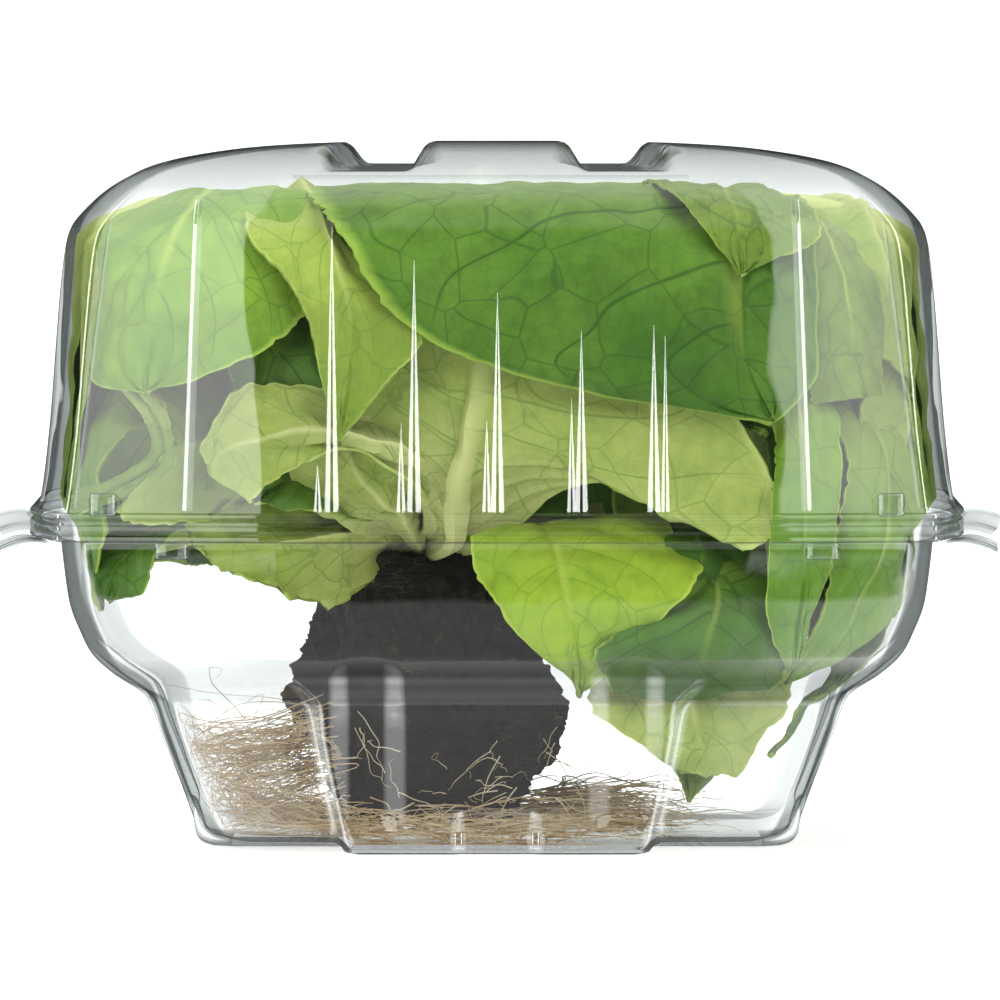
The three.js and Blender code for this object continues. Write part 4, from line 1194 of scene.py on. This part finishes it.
@dataclass
class Roots:
    """Root threads: a mat pressed to the left wall, strands on the floor and threads on the peat.

    Places are in millimetres. Each path is drawn at random around named places, always from one seed.
    """

    finishes: Finishes
    room: Room
    seed: int = 7
    mat_threads: int = 300
    ring_threads: int = 300
    right_threads: int = 150
    front_threads: int = 170
    peat_threads: int = 46
    paths: list[np.ndarray] = field(default_factory=list)
    radii: list[float] = field(default_factory=list)

    def build(self) -> None:
        """Builds the mat, the floor strands and the threads on the peat."""
        rng = np.random.default_rng(self.seed)
        self.mat(rng)
        self.join("root_mat", self.finishes.root)
        self.ring(rng)
        self.right(rng)
        self.front(rng)
        self.join("root_floor_strands", self.finishes.root)
        self.on_peat(rng)
        self.join("root_threads_on_peat", self.finishes.young_root)

    def mat(self, rng: np.random.Generator) -> None:
        """Threads that leave the block to the left and lie against the wall, denser lower down.

        Args:
            rng: Draws the places.
        """
        for k in range(self.mat_threads):
            rise = rng.beta(1.05, 1.25)
            start = np.array([-33 + rng.normal(0, 2.5), -35 + rng.normal(0, 6), 27 - 21 * rise])
            start[2] += rng.normal(0, 1.5)
            middle = np.array([-44 + rng.normal(0, 4), -38 + rng.normal(0, 7), 23 - 18 * rise])
            middle[2] += rng.normal(0, 2.2)
            wall = np.array([-57 + 14 * rise**1.3 + rng.normal(0, 2.4), -41 + rng.normal(0, 8), 0])
            wall[2] = 23 - 19 * rise + rng.normal(0, 1.8)
            end = wall + np.array([rng.normal(5, 5), rng.normal(0, 5), rng.normal(-3, 4)])
            path = np.vstack([start, middle, wall, end])
            if rng.random() < 0.3:
                path = np.vstack([middle, middle + rng.normal(0, 5, 3), wall + rng.normal(0, 4, 3)])
            path = path[: rng.integers(3, 5)]
            self.add(path, 18, k * 3.7, (0.06, 0.15), rng, rng.uniform(0.5, 2.4))

    def ring(self, rng: np.random.Generator) -> None:
        """Strands that spread over the floor from under the block.

        Args:
            rng: Draws the places.
        """
        for k in range(self.ring_threads):
            turn = rng.uniform(0, 2 * math.pi)
            foot = (-16 + 16 * math.cos(turn), -22 + 16 * math.sin(turn))
            start = np.array([*foot, 2.5 + rng.uniform(0, 3)])
            reach = rng.uniform(24, 50)
            turn += rng.normal(0, 0.6)
            tip = (-4 + reach * 1.15 * math.cos(turn), -16 + reach * math.sin(turn))
            end = np.array([*tip, 2 + rng.uniform(0, 6)])
            middle = (start + end) / 2 + np.array([rng.normal(0, 5), rng.normal(0, 5), rng.uniform(-1, 3)])
            self.add(np.vstack([start, middle, end]), 14, k * 0.7, (0.08, 0.2), rng)

    def right(self, rng: np.random.Generator) -> None:
        """Thicker strands heaped to the right of the block.

        Args:
            rng: Draws the places.
        """
        for k in range(self.right_threads):
            turn = rng.uniform(-0.5, 1.2)
            start = np.array([10 + rng.normal(0, 5), -20 + rng.normal(0, 9), 4 + rng.uniform(0, 7)])
            reach = rng.uniform(8, 26)
            way = (reach * math.cos(turn), reach * math.sin(turn) * 0.6)
            end = start + np.array([*way, rng.normal(-1, 2)])
            middle = (start + end) / 2 + np.array([rng.normal(0, 2), rng.normal(0, 3), rng.uniform(-1, 3)])
            self.add(np.vstack([start, middle, end]), 14, k * 0.9, (0.1, 0.24), rng)

    def front(self, rng: np.random.Generator) -> None:
        """Strands that lie along the front wall, on the floor.

        Args:
            rng: Draws the places.
        """
        for k in range(self.front_threads):
            x = rng.uniform(-42, 14)
            start = np.array([x, -49 + rng.normal(0, 2.5), 1.8 + abs(rng.normal(0, 3.2))])
            swing = rng.normal(0, 7)
            middle = start + np.array([swing, rng.normal(0, 2), rng.normal(0, 1.5)])
            end = middle + np.array([swing + rng.normal(0, 4), rng.normal(0, 2), rng.normal(0, 1.5)])
            self.add(np.vstack([start, middle, end]), 12, k * 1.3, (0.08, 0.2), rng)

    def on_peat(self, rng: np.random.Generator) -> None:
        """Single young threads on the front of the block.

        Args:
            rng: Draws the places.
        """
        for k in range(self.peat_threads):
            x = rng.uniform(-40, 12)
            z = 6 + 24 * rng.beta(1.1, 2.2)
            start = np.array([x, -48.6 + 0.1 * abs(x + 16) + 0.09 * z, z])
            swing = rng.choice([-1, 1]) * rng.uniform(0.6, 6)
            drop = rng.normal(-2.2, 3)
            middle = start + np.array([swing, rng.uniform(-0.8, 0.1), drop])
            bend = (swing * rng.uniform(-0.4, 1.4), rng.uniform(-0.6, 0.3), drop * rng.uniform(0.2, 1.4))
            path = np.vstack([start, middle, middle + np.array(bend)])
            self.add(path, 18, k * 1.9, (0.07, 0.15), rng, rng.uniform(0.3, 1.2))

    def add(
        self,
        points: np.ndarray,
        count: int,
        seed: float,
        radii: tuple[float, float],
        rng: np.random.Generator,
        loose: float = 0.9,
    ) -> None:
        """Adds one wandering thread through the given points, kept inside the box.

        Args:
            points: Points that it passes near.
            count: Number of points of its path.
            seed: Picks the wandering.
            radii: Least and greatest radius at its start.
            rng: Draws the radius.
            loose: How far it wanders.
        """
        share = np.linspace(0, 1, count)
        path = smooth_curve(points, share)
        for axis in range(3):
            wander = np.sin(share * (7 + 2 * axis) + seed * (1.3 + axis))
            wander = wander + 0.6 * np.sin(share * 17 + seed * 2.1)
            path[:, axis] += wander * loose * (1 if axis < 2 else 0.6) * share
        kept = self.room.keep(path, 0)
        # The feet at the corners have a higher floor than the bulges
        corner = (np.abs(kept[:, 0]) > 27) & (np.abs(kept[:, 1]) > 27)
        kept[:, 2] = np.maximum(kept[:, 2], np.where(corner, 3.2, self.room.lowest))
        self.paths.append(kept)
        self.radii.append(rng.uniform(*radii))

    def join(self, name: str, finish: bpy.types.Material) -> None:
        """Makes the threads that were added since the last time into one mesh and hands it over.

        Args:
            name: The piece's name.
            finish: The threads' material.
        """
        deselect()
        bpy.ops.curve.primitive_nurbs_path_add()
        piece = bpy.context.object
        piece.name = name
        curve = piece.data
        curve.splines.clear()
        curve.bevel_depth = MM
        curve.bevel_resolution = 0
        curve.use_fill_caps = True
        for path, radius in zip(self.paths, self.radii):
            spline = curve.splines.new("POLY")
            spline.points.add(len(path) - 1)
            spline.points.foreach_set("co", np.column_stack([path * MM, np.ones(len(path))]).ravel())
            spline.points.foreach_set("radius", radius * np.linspace(1, 0.35, len(path)))
        bpy.ops.object.convert(target="MESH")
        piece = bpy.context.object
        piece.data.materials.clear()
        piece.data.materials.append(finish)
        bpy.ops.object.shade_smooth()
        hand_over(piece, "base", "roots")
        self.paths, self.radii = [], []


@dataclass
class ClearShell:
    """One half of the clear box, drawn from a single sheet. Millimetres.

    Each row of the plan holds share of the way along a side, slide along it and reach outwards, the last
    two as shares of the half size.
    """

    finish: bpy.types.Material
    body: str = ""
    node: str = ""
    cuts: int = 296
    later: float = 0.4
    plan: Points = (
        (0, 0, 1), (0.5, 0.44, 1), (0.6, 0.505, 0.998), (0.68, 0.545, 0.995), (0.78, 0.645, 0.985),
        (0.86, 0.8, 0.9605), (0.92, 0.9, 0.9425), (0.955, 0.92, 0.9375), (0.98, 0.929, 0.934),
        (1, 0.932, 0.932),
    )  # fmt: skip
    tab_corners: Points = ()
    tab_mm: float = 0.4
    latch_place: Point = (0, 0, 0)
    latch_size: Point = (0, 0, 0)
    latch_edge: float = 0.9

    def square_grid(
        self, levels: np.ndarray
    ) -> tuple[bpy.types.Object, np.ndarray, np.ndarray, np.ndarray]:
        """Folds a flat grid into a bowed square cup.

        Args:
            levels: Rows of share from the middle to the rim, half size and height.

        Returns:
            The piece, its points, the outward direction at each point, and its share of the way from the
            side's middle to its corner.
        """
        piece = grid_piece(f"clear_{self.body}", self.cuts, self.cuts)
        flat = coordinates(piece)[:, :2]
        ring = np.maximum(np.abs(flat).max(axis=1), 1e-6)
        front = np.abs(flat[:, 1]) >= np.abs(flat[:, 0])
        run = np.where(front, flat[:, 0], flat[:, 1]) / ring
        sign = np.sign(np.where(front, flat[:, 1], flat[:, 0]))
        plan = self.rounded_plan()
        slide = np.sign(run) * np.interp(np.abs(run), plan[:, 0], plan[:, 1])
        half = np.interp(ring, levels[:, 0], levels[:, 1])
        height = np.interp(ring, levels[:, 0], levels[:, 2])
        reach = self.reach_at(np.abs(slide), height) * sign
        x = np.where(front, slide, reach) * half
        y = np.where(front, reach, slide) * half
        out = np.column_stack([np.where(front, 0, sign), np.where(front, sign, 0), 0 * sign])
        return piece, np.column_stack([x, y, height]), out, np.abs(slide)

    def reach_at(self, slide: np.ndarray, height: np.ndarray) -> np.ndarray:
        """How far out the wall stands.

        Args:
            slide: Share of the half size along the side.
            height: Height in millimetres, as the lid's wall bows back later higher up.

        Returns:
            The reach as a share of the half size.
        """
        plan = self.rounded_plan()
        corner = plan[-1, 1]
        share = slide / corner
        late = self.later * corner * smooth_step(62, 124, height) * share * (1 - share)
        return np.interp(slide - late, plan[:, 1], plan[:, 2])

    def rounded_plan(self) -> np.ndarray:
        """The plan with its kinks rounded off, so that they mirror no steps.

        Returns:
            Rows of share of the side, slide along it and reach outwards.
        """
        shares, slides, reaches = np.array(self.plan).T
        run = np.linspace(0, 1, 501)
        sharp = np.column_stack([run, np.interp(run, shares, slides), np.interp(run, shares, reaches)])
        padded = np.pad(sharp, ((12, 12), (0, 0)), mode="edge")
        kernel = np.ones(25) / 25
        soft = np.column_stack([np.convolve(column, kernel, mode="valid") for column in padded.T])
        keep = np.maximum(smooth_step(0.9, 0.97, run), 1 - smooth_step(0.02, 0.06, run))[:, None]
        mixed = soft * (1 - keep) + sharp * keep
        mixed[:, 0] = run
        return mixed

    def levels(self, wall: Points) -> np.ndarray:
        """Dense rows on a smooth curve through the wall's rows of share, half size and height."""
        curve = smooth_curve(np.array(wall), np.linspace(0, 1, 600))
        return curve[np.argsort(curve[:, 0])]

    def dress(self, piece: bpy.types.Object, degrees: float) -> None:
        """Finishes a clear piece and hands it over.

        Args:
            piece: The shaped piece.
            degrees: Faces that meet at less than this are shaded smooth.
        """
        piece.data.materials.append(self.finish)
        smooth(piece, degrees)
        hand_over(piece, self.body, self.node)

    def shell(self, piece: bpy.types.Object, points: np.ndarray) -> None:
        """Places the shell's points and dresses it.

        Args:
            piece: The grid.
            points: Places in millimetres.
        """
        place_points(piece, points)
        close_seams(piece)
        self.dress(piece, 50)

    def fittings(self, side: int, name: str) -> None:
        """Adds the finger tab and the latch of one side.

        Args:
            side: -1 for the left and 1 for the right.
            name: The side's name.
        """
        self.tab(f"clear_{self.body}_tab_{name}", tuple((side * x, y, z) for x, y, z in self.tab_corners))
        x, y, z = self.latch_place
        self.latch(f"clear_{self.body}_latch_{name}", (side * x, y, z))

    def latch(self, name: str, place: Point) -> None:
        """A small hollow snap that stands out from the wall.

        Args:
            name: The piece's name.
            place: Its middle.
        """
        deselect()
        bpy.ops.mesh.primitive_cube_add(size=2)
        piece = bpy.context.object
        piece.name = name
        piece.data.name = name
        place_points(piece, np.array(place) + coordinates(piece) * np.array(self.latch_size) / 2)
        apply_modifier(piece, "BEVEL", width=self.latch_edge * MM, segments=5)
        self.dress(piece, 50)

    def tab(self, name: str, corners: Points) -> None:
        """A thin finger tab that droops from the rim.

        Args:
            name: The piece's name.
            corners: Inner front, outer front, outer back and inner back corner.
        """
        piece = grid_piece(name, 14, 14)
        flat = coordinates(piece)
        u = (flat[:, 0] + 1) / 2
        v = (flat[:, 1] + 1) / 2
        shares = ((1 - u) * (1 - v), u * (1 - v), u * v, (1 - u) * v)
        points = sum(np.array(corner, float) * share[:, None] for corner, share in zip(corners, shares))
        points[:, 2] += 0.8 * np.sin(math.pi * u) + 0.35 * np.sin(3 * math.pi * v) * u
        place_points(piece, points)
        apply_modifier(piece, "SOLIDIFY", thickness=self.tab_mm * MM, offset=0.0)
        self.dress(piece, 35)


@dataclass
class Lid(ClearShell):
    """The lid: three raised blocks on top, needle flutes on the front, a flange and a skirt.

    Each row of top and rim holds share of the way from the middle to the rim, half size and height. Each
    needle holds its place along X, the height of its tip and half the width of its foot.
    """

    body: str = "lid"
    node: str = "clamshell_lid"
    groove_floor: float = 127.6
    front_groove: tuple[float, float] = (15.2, 34.0)
    back_groove: tuple[float, float] = (10.0, 26.0)
    needles: Points = (
        (-30.5, 119, 1.35), (-15.3, 111.5, 1.35), (0.1, 105.5, 1.3), (15.6, 98.5, 1.25), (29.0, 99.5, 1.25),
        (-33.1, 73.5, 0.8), (-17.7, 81.5, 0.85), (-1.9, 82, 0.85), (13.8, 86, 0.85), (31.1, 97.5, 0.8),
    )  # fmt: skip
    top: Points = (
        (0, 0, 132.55), (0.12, 20, 132.45), (0.24, 40, 131.7), (0.33, 53, 130.4), (0.40, 64.5, 128.1),
        (0.45, 71.8, 124.8), (0.5, 77.5, 119.9), (0.54, 80.3, 115.5), (0.6, 81.6, 107), (0.68, 82.5, 97),
        (0.78, 83.7, 82), (0.86, 84.9, 71), (0.9, 85.8, 65.2),
    )  # fmt: skip
    rim: Points = (
        (0.905, 86.0, 64.75), (0.915, 87.2, 64.6), (0.922, 87.6, 64.3), (0.935, 87.6, 63.6),
        (0.943, 87.0, 63.3), (0.958, 87.0, 62.5), (0.966, 87.55, 62.2), (0.985, 87.6, 61.2),
        (0.993, 87.2, 60.8), (1.0, 87.5, 60.6),
    )  # fmt: skip
    tab_corners: Points = ((82.5, -80.5, 61.0), (91.5, -82, 60.4), (94, -66, 63.6), (85.5, -62, 64.2))
    latch_place: Point = (72.8, -83.4, 66.3)
    latch_size: Point = (5.2, 3.4, 4.2)

    def build(self) -> None:
        """Builds the lid, its tabs, ridges and latches."""
        piece, points, _, _ = self.square_grid(np.vstack([self.levels(self.top), self.rim]))
        self.shell(piece, self.grooves(points))
        for side, name in ((-1, "left"), (1, "right")):
            self.fittings(side, name)
            self.ridge(f"crease_{name}", (side * 57.2, 65.2), (side * 55.2, 122.5), (0.95, 0.8), 0.185)
            self.ridge(f"corner_{name}", (side * 78.2, 65.6), (side * 71.5, 119.5), (0.5, 0.35))
        self.ridge("lip", (-37.8, 126.6), (35.7, 126.6), (0.4, 0.4))
        for number, (place, tip, half) in enumerate(self.needles):
            self.ridge(f"needle_{number}", (place, 65.0), (place, tip), (half, 0.03))

    def grooves(self, points: np.ndarray) -> np.ndarray:
        """Sinks the two grooves between the blocks.

        Args:
            points: Places in millimetres.

        Returns:
            The moved points.
        """
        x, y, z = np.abs(points[:, 0]), points[:, 1], points[:, 2]
        share = np.clip((y + 80) / 160, 0, 1)
        inner, outer = (
            front + (back - front) * share for front, back in zip(self.front_groove, self.back_groove)
        )
        sunk = smooth_step(inner - 0.4, inner + 2.6, x) * (1 - smooth_step(outer - 2.6, outer + 0.4, x))
        above = np.maximum(z - self.groove_floor, 0)
        return np.column_stack([points[:, 0], y, z - above * sunk])

    def ridge(
        self,
        name: str,
        foot: tuple[float, float],
        tip: tuple[float, float],
        halves: tuple[float, float],
        flank: float = 0.33,
    ) -> None:
        """Adds a thin ridge with two flat flanks to the front panel.

        Args:
            name: The end of the piece's name.
            foot: Its lower end as x and z.
            tip: Its upper end as x and z.
            halves: Half its width at the lower and the upper end.
            flank: How far its crest stands out, as a share of half its width.
        """
        piece = grid_piece(f"clear_lid_{name}", 3, 48)
        flat = coordinates(piece)
        share = (flat[:, 1] + 1) / 2
        x, z, half = (low + (high - low) * share for low, high in (*zip(foot, tip), halves))
        across = np.sign(flat[:, 0]) * np.where(np.abs(flat[:, 0]) > 0.9, 1.0, 0.22)
        line = unit(np.array([[tip[0] - foot[0], tip[1] - foot[1]]]))[0]
        points = np.column_stack([x + across * half * line[1], 0 * x, z - across * half * line[0]])
        rows = self.levels(self.top)
        size = np.interp(points[:, 2], rows[::-1, 2], rows[::-1, 1])
        wall = size * self.reach_at(np.abs(points[:, 0]) / size, points[:, 2])
        # The long edges lie just inside the panel, and the crest stands out from it
        points[:, 1] = -wall - half * np.where(np.abs(across) > 0.9, -0.04, flank)
        place_points(piece, points)
        self.dress(piece, 12)


@dataclass
class Base(ClearShell):
    """The base: a foot with a bulge on each side, a wide bowl above it and a flat flange.

    Each row of middle, wall and rim holds share of the way from the middle to the rim, half size and
    height. The bulges and the foot hold height and half size.
    """

    body: str = "base"
    node: str = "clamshell_base"
    middle: Points = ((0, 0, 2.0), (0.3, 48, 2.0))
    wall: Points = (
        (0.32, 50.5, 2.0), (0.345, 53.6, 2.9), (0.37, 55.6, 4.8), (0.42, 58, 10), (0.48, 60.8, 16.8),
        (0.53, 62.9, 22.5), (0.57, 64.5, 27.8), (0.59, 66.3, 29.7), (0.61, 69.2, 31.3), (0.64, 72.9, 33.6),
        (0.68, 76.3, 37.0), (0.72, 78.4, 41.2), (0.77, 80.2, 46), (0.83, 81.15, 52), (0.87, 81.9, 58.6),
    )  # fmt: skip
    rim: Points = (
        (0.88, 82.1, 59.1), (0.9, 83, 59.3), (0.94, 86.8, 59.3), (0.96, 87.6, 59.6), (1, 87.6, 60.3),
    )  # fmt: skip
    bulge_reach: Profile = (
        (0, 56.3), (3, 59.8), (18, 63.6), (24, 65.7), (28, 68.2), (31.3, 70.8), (33.6, 72.9),
    )  # fmt: skip
    foot: Profile = (
        (2, 52), (4.5, 55.5), (16, 60.5), (27.8, 64.5), (29.7, 66.3), (31.3, 69.2), (33.6, 72.9),
    )  # fmt: skip
    foot_top: float = 33.6
    floor: float = 2.0
    side_share: float = 0.35
    channel_place: float = 24.2
    tab_corners: Points = ((83, -78, 59.2), (92.6, -80, 57.4), (92.8, -66, 58.4), (86, -60, 59.6))
    latch_place: Point = (60.2, -81.4, 57.6)
    latch_size: Point = (6.4, 3.6, 3.2)

    def build(self) -> None:
        """Builds the base, its tabs and its latches."""
        rows = np.vstack([self.middle, self.levels(self.wall), self.rim])
        piece, points, out, slide = self.square_grid(rows)
        self.shell(piece, self.bulges(points, out, slide))
        for side, name in ((-1, "left"), (1, "right")):
            self.fittings(side, name)

    def bulges(self, points: np.ndarray, out: np.ndarray, slide: np.ndarray) -> np.ndarray:
        """Pushes the bulges, their channels and the feet out of the plain cup.

        Args:
            points: Places in millimetres.
            out: Outward direction at each point.
            slide: Share of the way from the side's middle to its corner.

        Returns:
            The moved points.
        """
        x, y, z = points.T
        on_side = out[:, 0] != 0
        along = np.where(on_side, y, x)
        foot = np.interp(z, *np.array(self.foot).T)
        reach = np.interp(z, *np.array(self.bulge_reach).T) - foot
        reach = reach * np.where(on_side, self.side_share, 1)
        above_floor = z > self.floor + 0.001
        on_foot = (z < self.foot_top) & above_floor
        belly = 1 - smooth_step(0.506, 0.546, slide)
        push = np.where(on_foot, reach * belly, 0)
        near = np.abs(np.abs(along) - self.channel_place)
        channel = 1 - smooth_step(2.6, 7.8, near)
        channel = channel * (1.35 - 0.35 * smooth_step(27, 31, z))
        channel = channel * smooth_step(4, 8, z) * (1 - smooth_step(33.5, 38.5 - 0.06 * near**2, z))
        window = (1 - smooth_step(6.6, 7.8, np.abs(along))) * (1 - smooth_step(7.4, 8.6, z)) * 1.3
        push = push - np.where(above_floor, channel, 0) - np.where(on_foot, window, 0)
        moved = points + out * push[:, None]
        # The floor stands on the bulges, and the four corner feet end 2 mm higher
        middle = np.maximum(1 - smooth_step(28, 30, np.abs(x)), 1 - smooth_step(28, 30, np.abs(y)))
        moved[:, 2] -= self.floor * middle * (1 - smooth_step(2.0, 6.0, z))
        return moved


@dataclass
class FoldingStrip:
    """The thin strip of sheet at the back that joins lid and base and folds as the lid opens."""

    finish: bpy.types.Material
    half: float = 62.0
    y: float = 87.45
    low: float = 60.2
    high: float = 60.7

    def build(self) -> None:
        """Builds the strip where it lies between the two bodies."""
        piece = grid_piece("clear_folding_strip", 60, 6)
        flat = coordinates(piece)
        share = (flat[:, 1] + 1) / 2
        height = self.low + (self.high - self.low) * share
        place_points(piece, np.column_stack([flat[:, 0] * self.half, self.y + 0 * share, height]))
        piece.data.materials.append(self.finish)
        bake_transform(piece)
        log.info("%s joins base and lid", piece.name)


@dataclass
class Studio:
    """White sweep, soft lamps and the camera at the photograph's angle.

    The camera and the lamps are in metres, and the sweep is in millimetres. Each softbox has a name, a
    place, its width and height, and its power in watts.
    """

    distance: float = 3.0
    elevation: float = 1.9
    target: Point = (0.00057, 0.0, 0.0644)
    frame_width: float = 0.19
    lamp_aim: Point = (0, 0, 0.07)
    softboxes: tuple[tuple[str, Point, tuple[float, float], float], ...] = (
        ("softbox_left", (-0.8, -1.3, 0.9), (0.7, 0.7), 13),
        ("softbox_right", (0.8, -1.3, 0.6), (0.7, 0.7), 8.5),
        ("softbox_top", (-0.1, -0.25, 1.3), (1.1, 0.9), 18),
    )
    sweep_half: float = 2500
    sweep_front: float = -1500
    floor_run: float = 2600
    bend_run: float = 1400
    whole_run: float = 5000

    def build(self) -> None:
        """Sets up the sweep, the surroundings and the lamps."""
        self.sweep()
        self.world()
        for name, place, size, watts in self.softboxes:
            self.lamp(name, place, size, watts)

    def camera(self) -> None:
        """Sets the long lens nearly level in front of the box."""
        angle = math.radians(self.elevation)
        target = Vector(self.target)
        place = target + Vector((0, -self.distance * math.cos(angle), self.distance * math.sin(angle)))
        bpy.ops.object.camera_add(location=place)
        camera = bpy.context.object
        camera.rotation_euler = (target - place).to_track_quat("-Z", "Y").to_euler()
        camera.data.sensor_width = 36
        camera.data.lens = 36 * self.distance / self.frame_width
        camera.data.clip_end = 20
        bpy.context.scene.camera = camera

    def lamp(self, name: str, place: Point, size: tuple[float, float], watts: float) -> None:
        """Adds one softbox aimed at the box, which lights it but isn't mirrored in the sheet.

        Args:
            name: The lamp's name.
            place: Its place in metres.
            size: Width and height in metres.
            watts: Its power.
        """
        bpy.ops.object.light_add(type="AREA", location=place)
        lamp = bpy.context.object
        lamp.name = name
        lamp.data.shape = "RECTANGLE"
        lamp.data.size, lamp.data.size_y = size
        lamp.data.energy = watts
        lamp.visible_glossy = False
        aim = Vector(self.lamp_aim) - Vector(place)
        lamp.rotation_euler = aim.to_track_quat("-Z", "Y").to_euler()

    def window(
        self,
        node: Callable[..., bpy.types.Node],
        value: bpy.types.Node,
        span: tuple[float, float],
        soft: float,
    ) -> bpy.types.Node:
        """Is 1 while a value lies in a span and 0 elsewhere, with soft ends.

        Args:
            node: Adds a node to the tree.
            value: The value's node.
            span: Start and end.
            soft: Width of the ends.

        Returns:
            The node of the result.
        """
        start, end = span
        rises = node("MapRange", [value, start, start + soft, 0.0, 1.0])
        falls = node("MapRange", [value, end - soft, end, 1.0, 0.0])
        return node("Math", [rises, falls], operation="MULTIPLY")

    def world(self) -> None:
        """White behind the box, and painted by direction where the sheet mirrors it.

        The camera's side is dark between two tall softboxes and two narrow strip lights. The backdrop and
        the table are white.
        """
        world = bpy.data.worlds.new("studio")
        bpy.context.scene.world = world
        world.use_nodes = True
        world.cycles.sampling_method = "NONE"
        world.node_tree.nodes.clear()
        node = partial(add_node, world.node_tree)
        path = node("LightPath")
        white = linear("#FFFFFF")
        way = node("SeparateXYZ", [(node("TexCoord"), "Generated")])
        aside = node("Math", [(way, "X")], operation="ABSOLUTE")
        aside = node("Math", [aside, 0.7], operation="MULTIPLY")
        lifted = node("Math", [(way, "Z"), aside], operation="SUBTRACT")
        backdrop = node("MapRange", [lifted, -0.02, 0.22, 0.0, 0.75])
        behind = node("MapRange", [(way, "Y"), 0.0, 0.3, 0.0, 1.0])
        backdrop = node("Math", [backdrop, behind], operation="MULTIPLY")
        # A sheet that mirrors this direction to the camera is turned and leant by these tangents
        facing = node("Math", [1.0001, (way, "Y")], operation="SUBTRACT")
        turn = node("Math", [(way, "X"), facing], operation="DIVIDE")
        lean = node("Math", [(way, "Z"), facing], operation="DIVIDE")
        width = node("Math", [turn], operation="ABSOLUTE")
        # Two softboxes of their own breadth and strength, and a strip light beside each
        left = node("Math", [self.window(node, turn, (-0.337, -0.05), 0.007), 2.1], operation="MULTIPLY")
        right = node("Math", [self.window(node, turn, (0.109, 0.337), 0.007), 1.8], operation="MULTIPLY")
        strips = node("Math", [self.window(node, width, (0.405, 0.505), 0.015), 8.0], operation="MULTIPLY")
        cards = node("Math", [left, right], operation="ADD")
        cards = node("Math", [cards, strips], operation="ADD")
        foot = node("MapRange", [lean, -0.15, -0.11, 0.0, 1.0])
        head = node("MapRange", [lean, 0.5, 1.9, 1.0, 0.0])
        level = node("Math", [foot, head], operation="MULTIPLY")
        cards = node("Math", [cards, level], operation="MULTIPLY")
        # The white table in front of the box is brighter to the sides and darker near the camera
        table = node("MapRange", [lean, -0.165, -0.195, 0.0, 1.0])
        near = node("MapRange", [lean, -1.4, -0.5, 0.15, 1.0])
        table = node("Math", [table, near], operation="MULTIPLY")
        sides = node("MapRange", [width, 0.1, 0.26, 0.36, 1.9])
        table = node("Math", [table, sides], operation="MULTIPLY")
        above = node("MapRange", [(way, "Z"), 0.75, 0.95, 0.0, 0.35])
        front = node("Math", [backdrop, cards], operation="ADD")
        rest = node("Math", [table, above], operation="ADD")
        glow = node("Math", [front, rest], operation="ADD")
        glow = node("Math", [glow, 0.05], operation="ADD")
        room = node("Background", [white, 0.34])
        seen = node("Background", [white, 1.0])
        mirrored = node("Background", [white, glow])
        first = node("MixShader", [(path, "Is Camera Ray"), room, seen])
        second = node("MixShader", [(path, "Is Glossy Ray"), first, mirrored])
        node("OutputWorld", [second])

    def paint(self) -> bpy.types.Material:
        """White matt paint of the sweep, which never falls into shade and is open from behind.

        Returns:
            The material.
        """
        material, node = new_material("white_paint_matt")
        path = node("LightPath")
        grain = node("TexNoise", {"Vector": (node("TexCoord"), "Object"), "Scale": 3.0})
        colour = node("ValToRGB", [grain], stops={0.3: "#F8F8F8", 0.7: "#FBFBFB"})
        lit = node("MapRange", [(path, "Is Camera Ray"), 0, 1, 0.16, 0.55])
        look = {"Base Color": colour, "Roughness": 0.9, "Emission Color": linear("#FFFFFF")}
        paint = node("BsdfPrincipled", {**look, "Emission Strength": lit})
        # From behind, the upright part of the sweep isn't in the way of a camera
        back = (node("NewGeometry"), "Backfacing")
        passed = node("Math", [back, (path, "Is Camera Ray")], operation="MULTIPLY")
        node("OutputMaterial", [node("MixShader", [passed, paint, node("BsdfTransparent")])])
        return material

    def sweep(self) -> None:
        """A white floor that curves up far behind the box."""
        piece = grid_piece("studio_sweep", 8, 60)
        flat = coordinates(piece)
        run = (flat[:, 1] + 1) / 2 * self.whole_run
        angle = np.clip((run - self.floor_run) / self.bend_run, 0, 1) * math.pi / 2
        radius = self.bend_run * 2 / math.pi
        y = self.sweep_front + np.minimum(run, self.floor_run) + radius * np.sin(angle)
        z = radius * (1 - np.cos(angle)) + np.maximum(run - self.floor_run - self.bend_run, 0)
        place_points(piece, np.column_stack([flat[:, 0] * self.sweep_half, y, z]))
        piece.data.materials.append(self.paint())
        smooth(piece)
        piece.visible_glossy = False


def main() -> None:
    """Builds the part around its frame, piece by piece."""
    logging.basicConfig(level=logging.INFO, format="%(name)s: %(message)s")
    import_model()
    studio = Studio()
    studio.camera()
    finishes = Finishes()
    room = Room()
    Head(finishes, room).build()
    PeatBlock(finishes.peat).build()
    Roots(finishes, room).build()
    Base(finishes.sheet).build()
    Lid(finishes.sheet).build()
    FoldingStrip(finishes.sheet).build()
    studio.build()
    bpy.context.scene.view_settings.view_transform = "Standard"


if __name__ == "__main__":
    main()
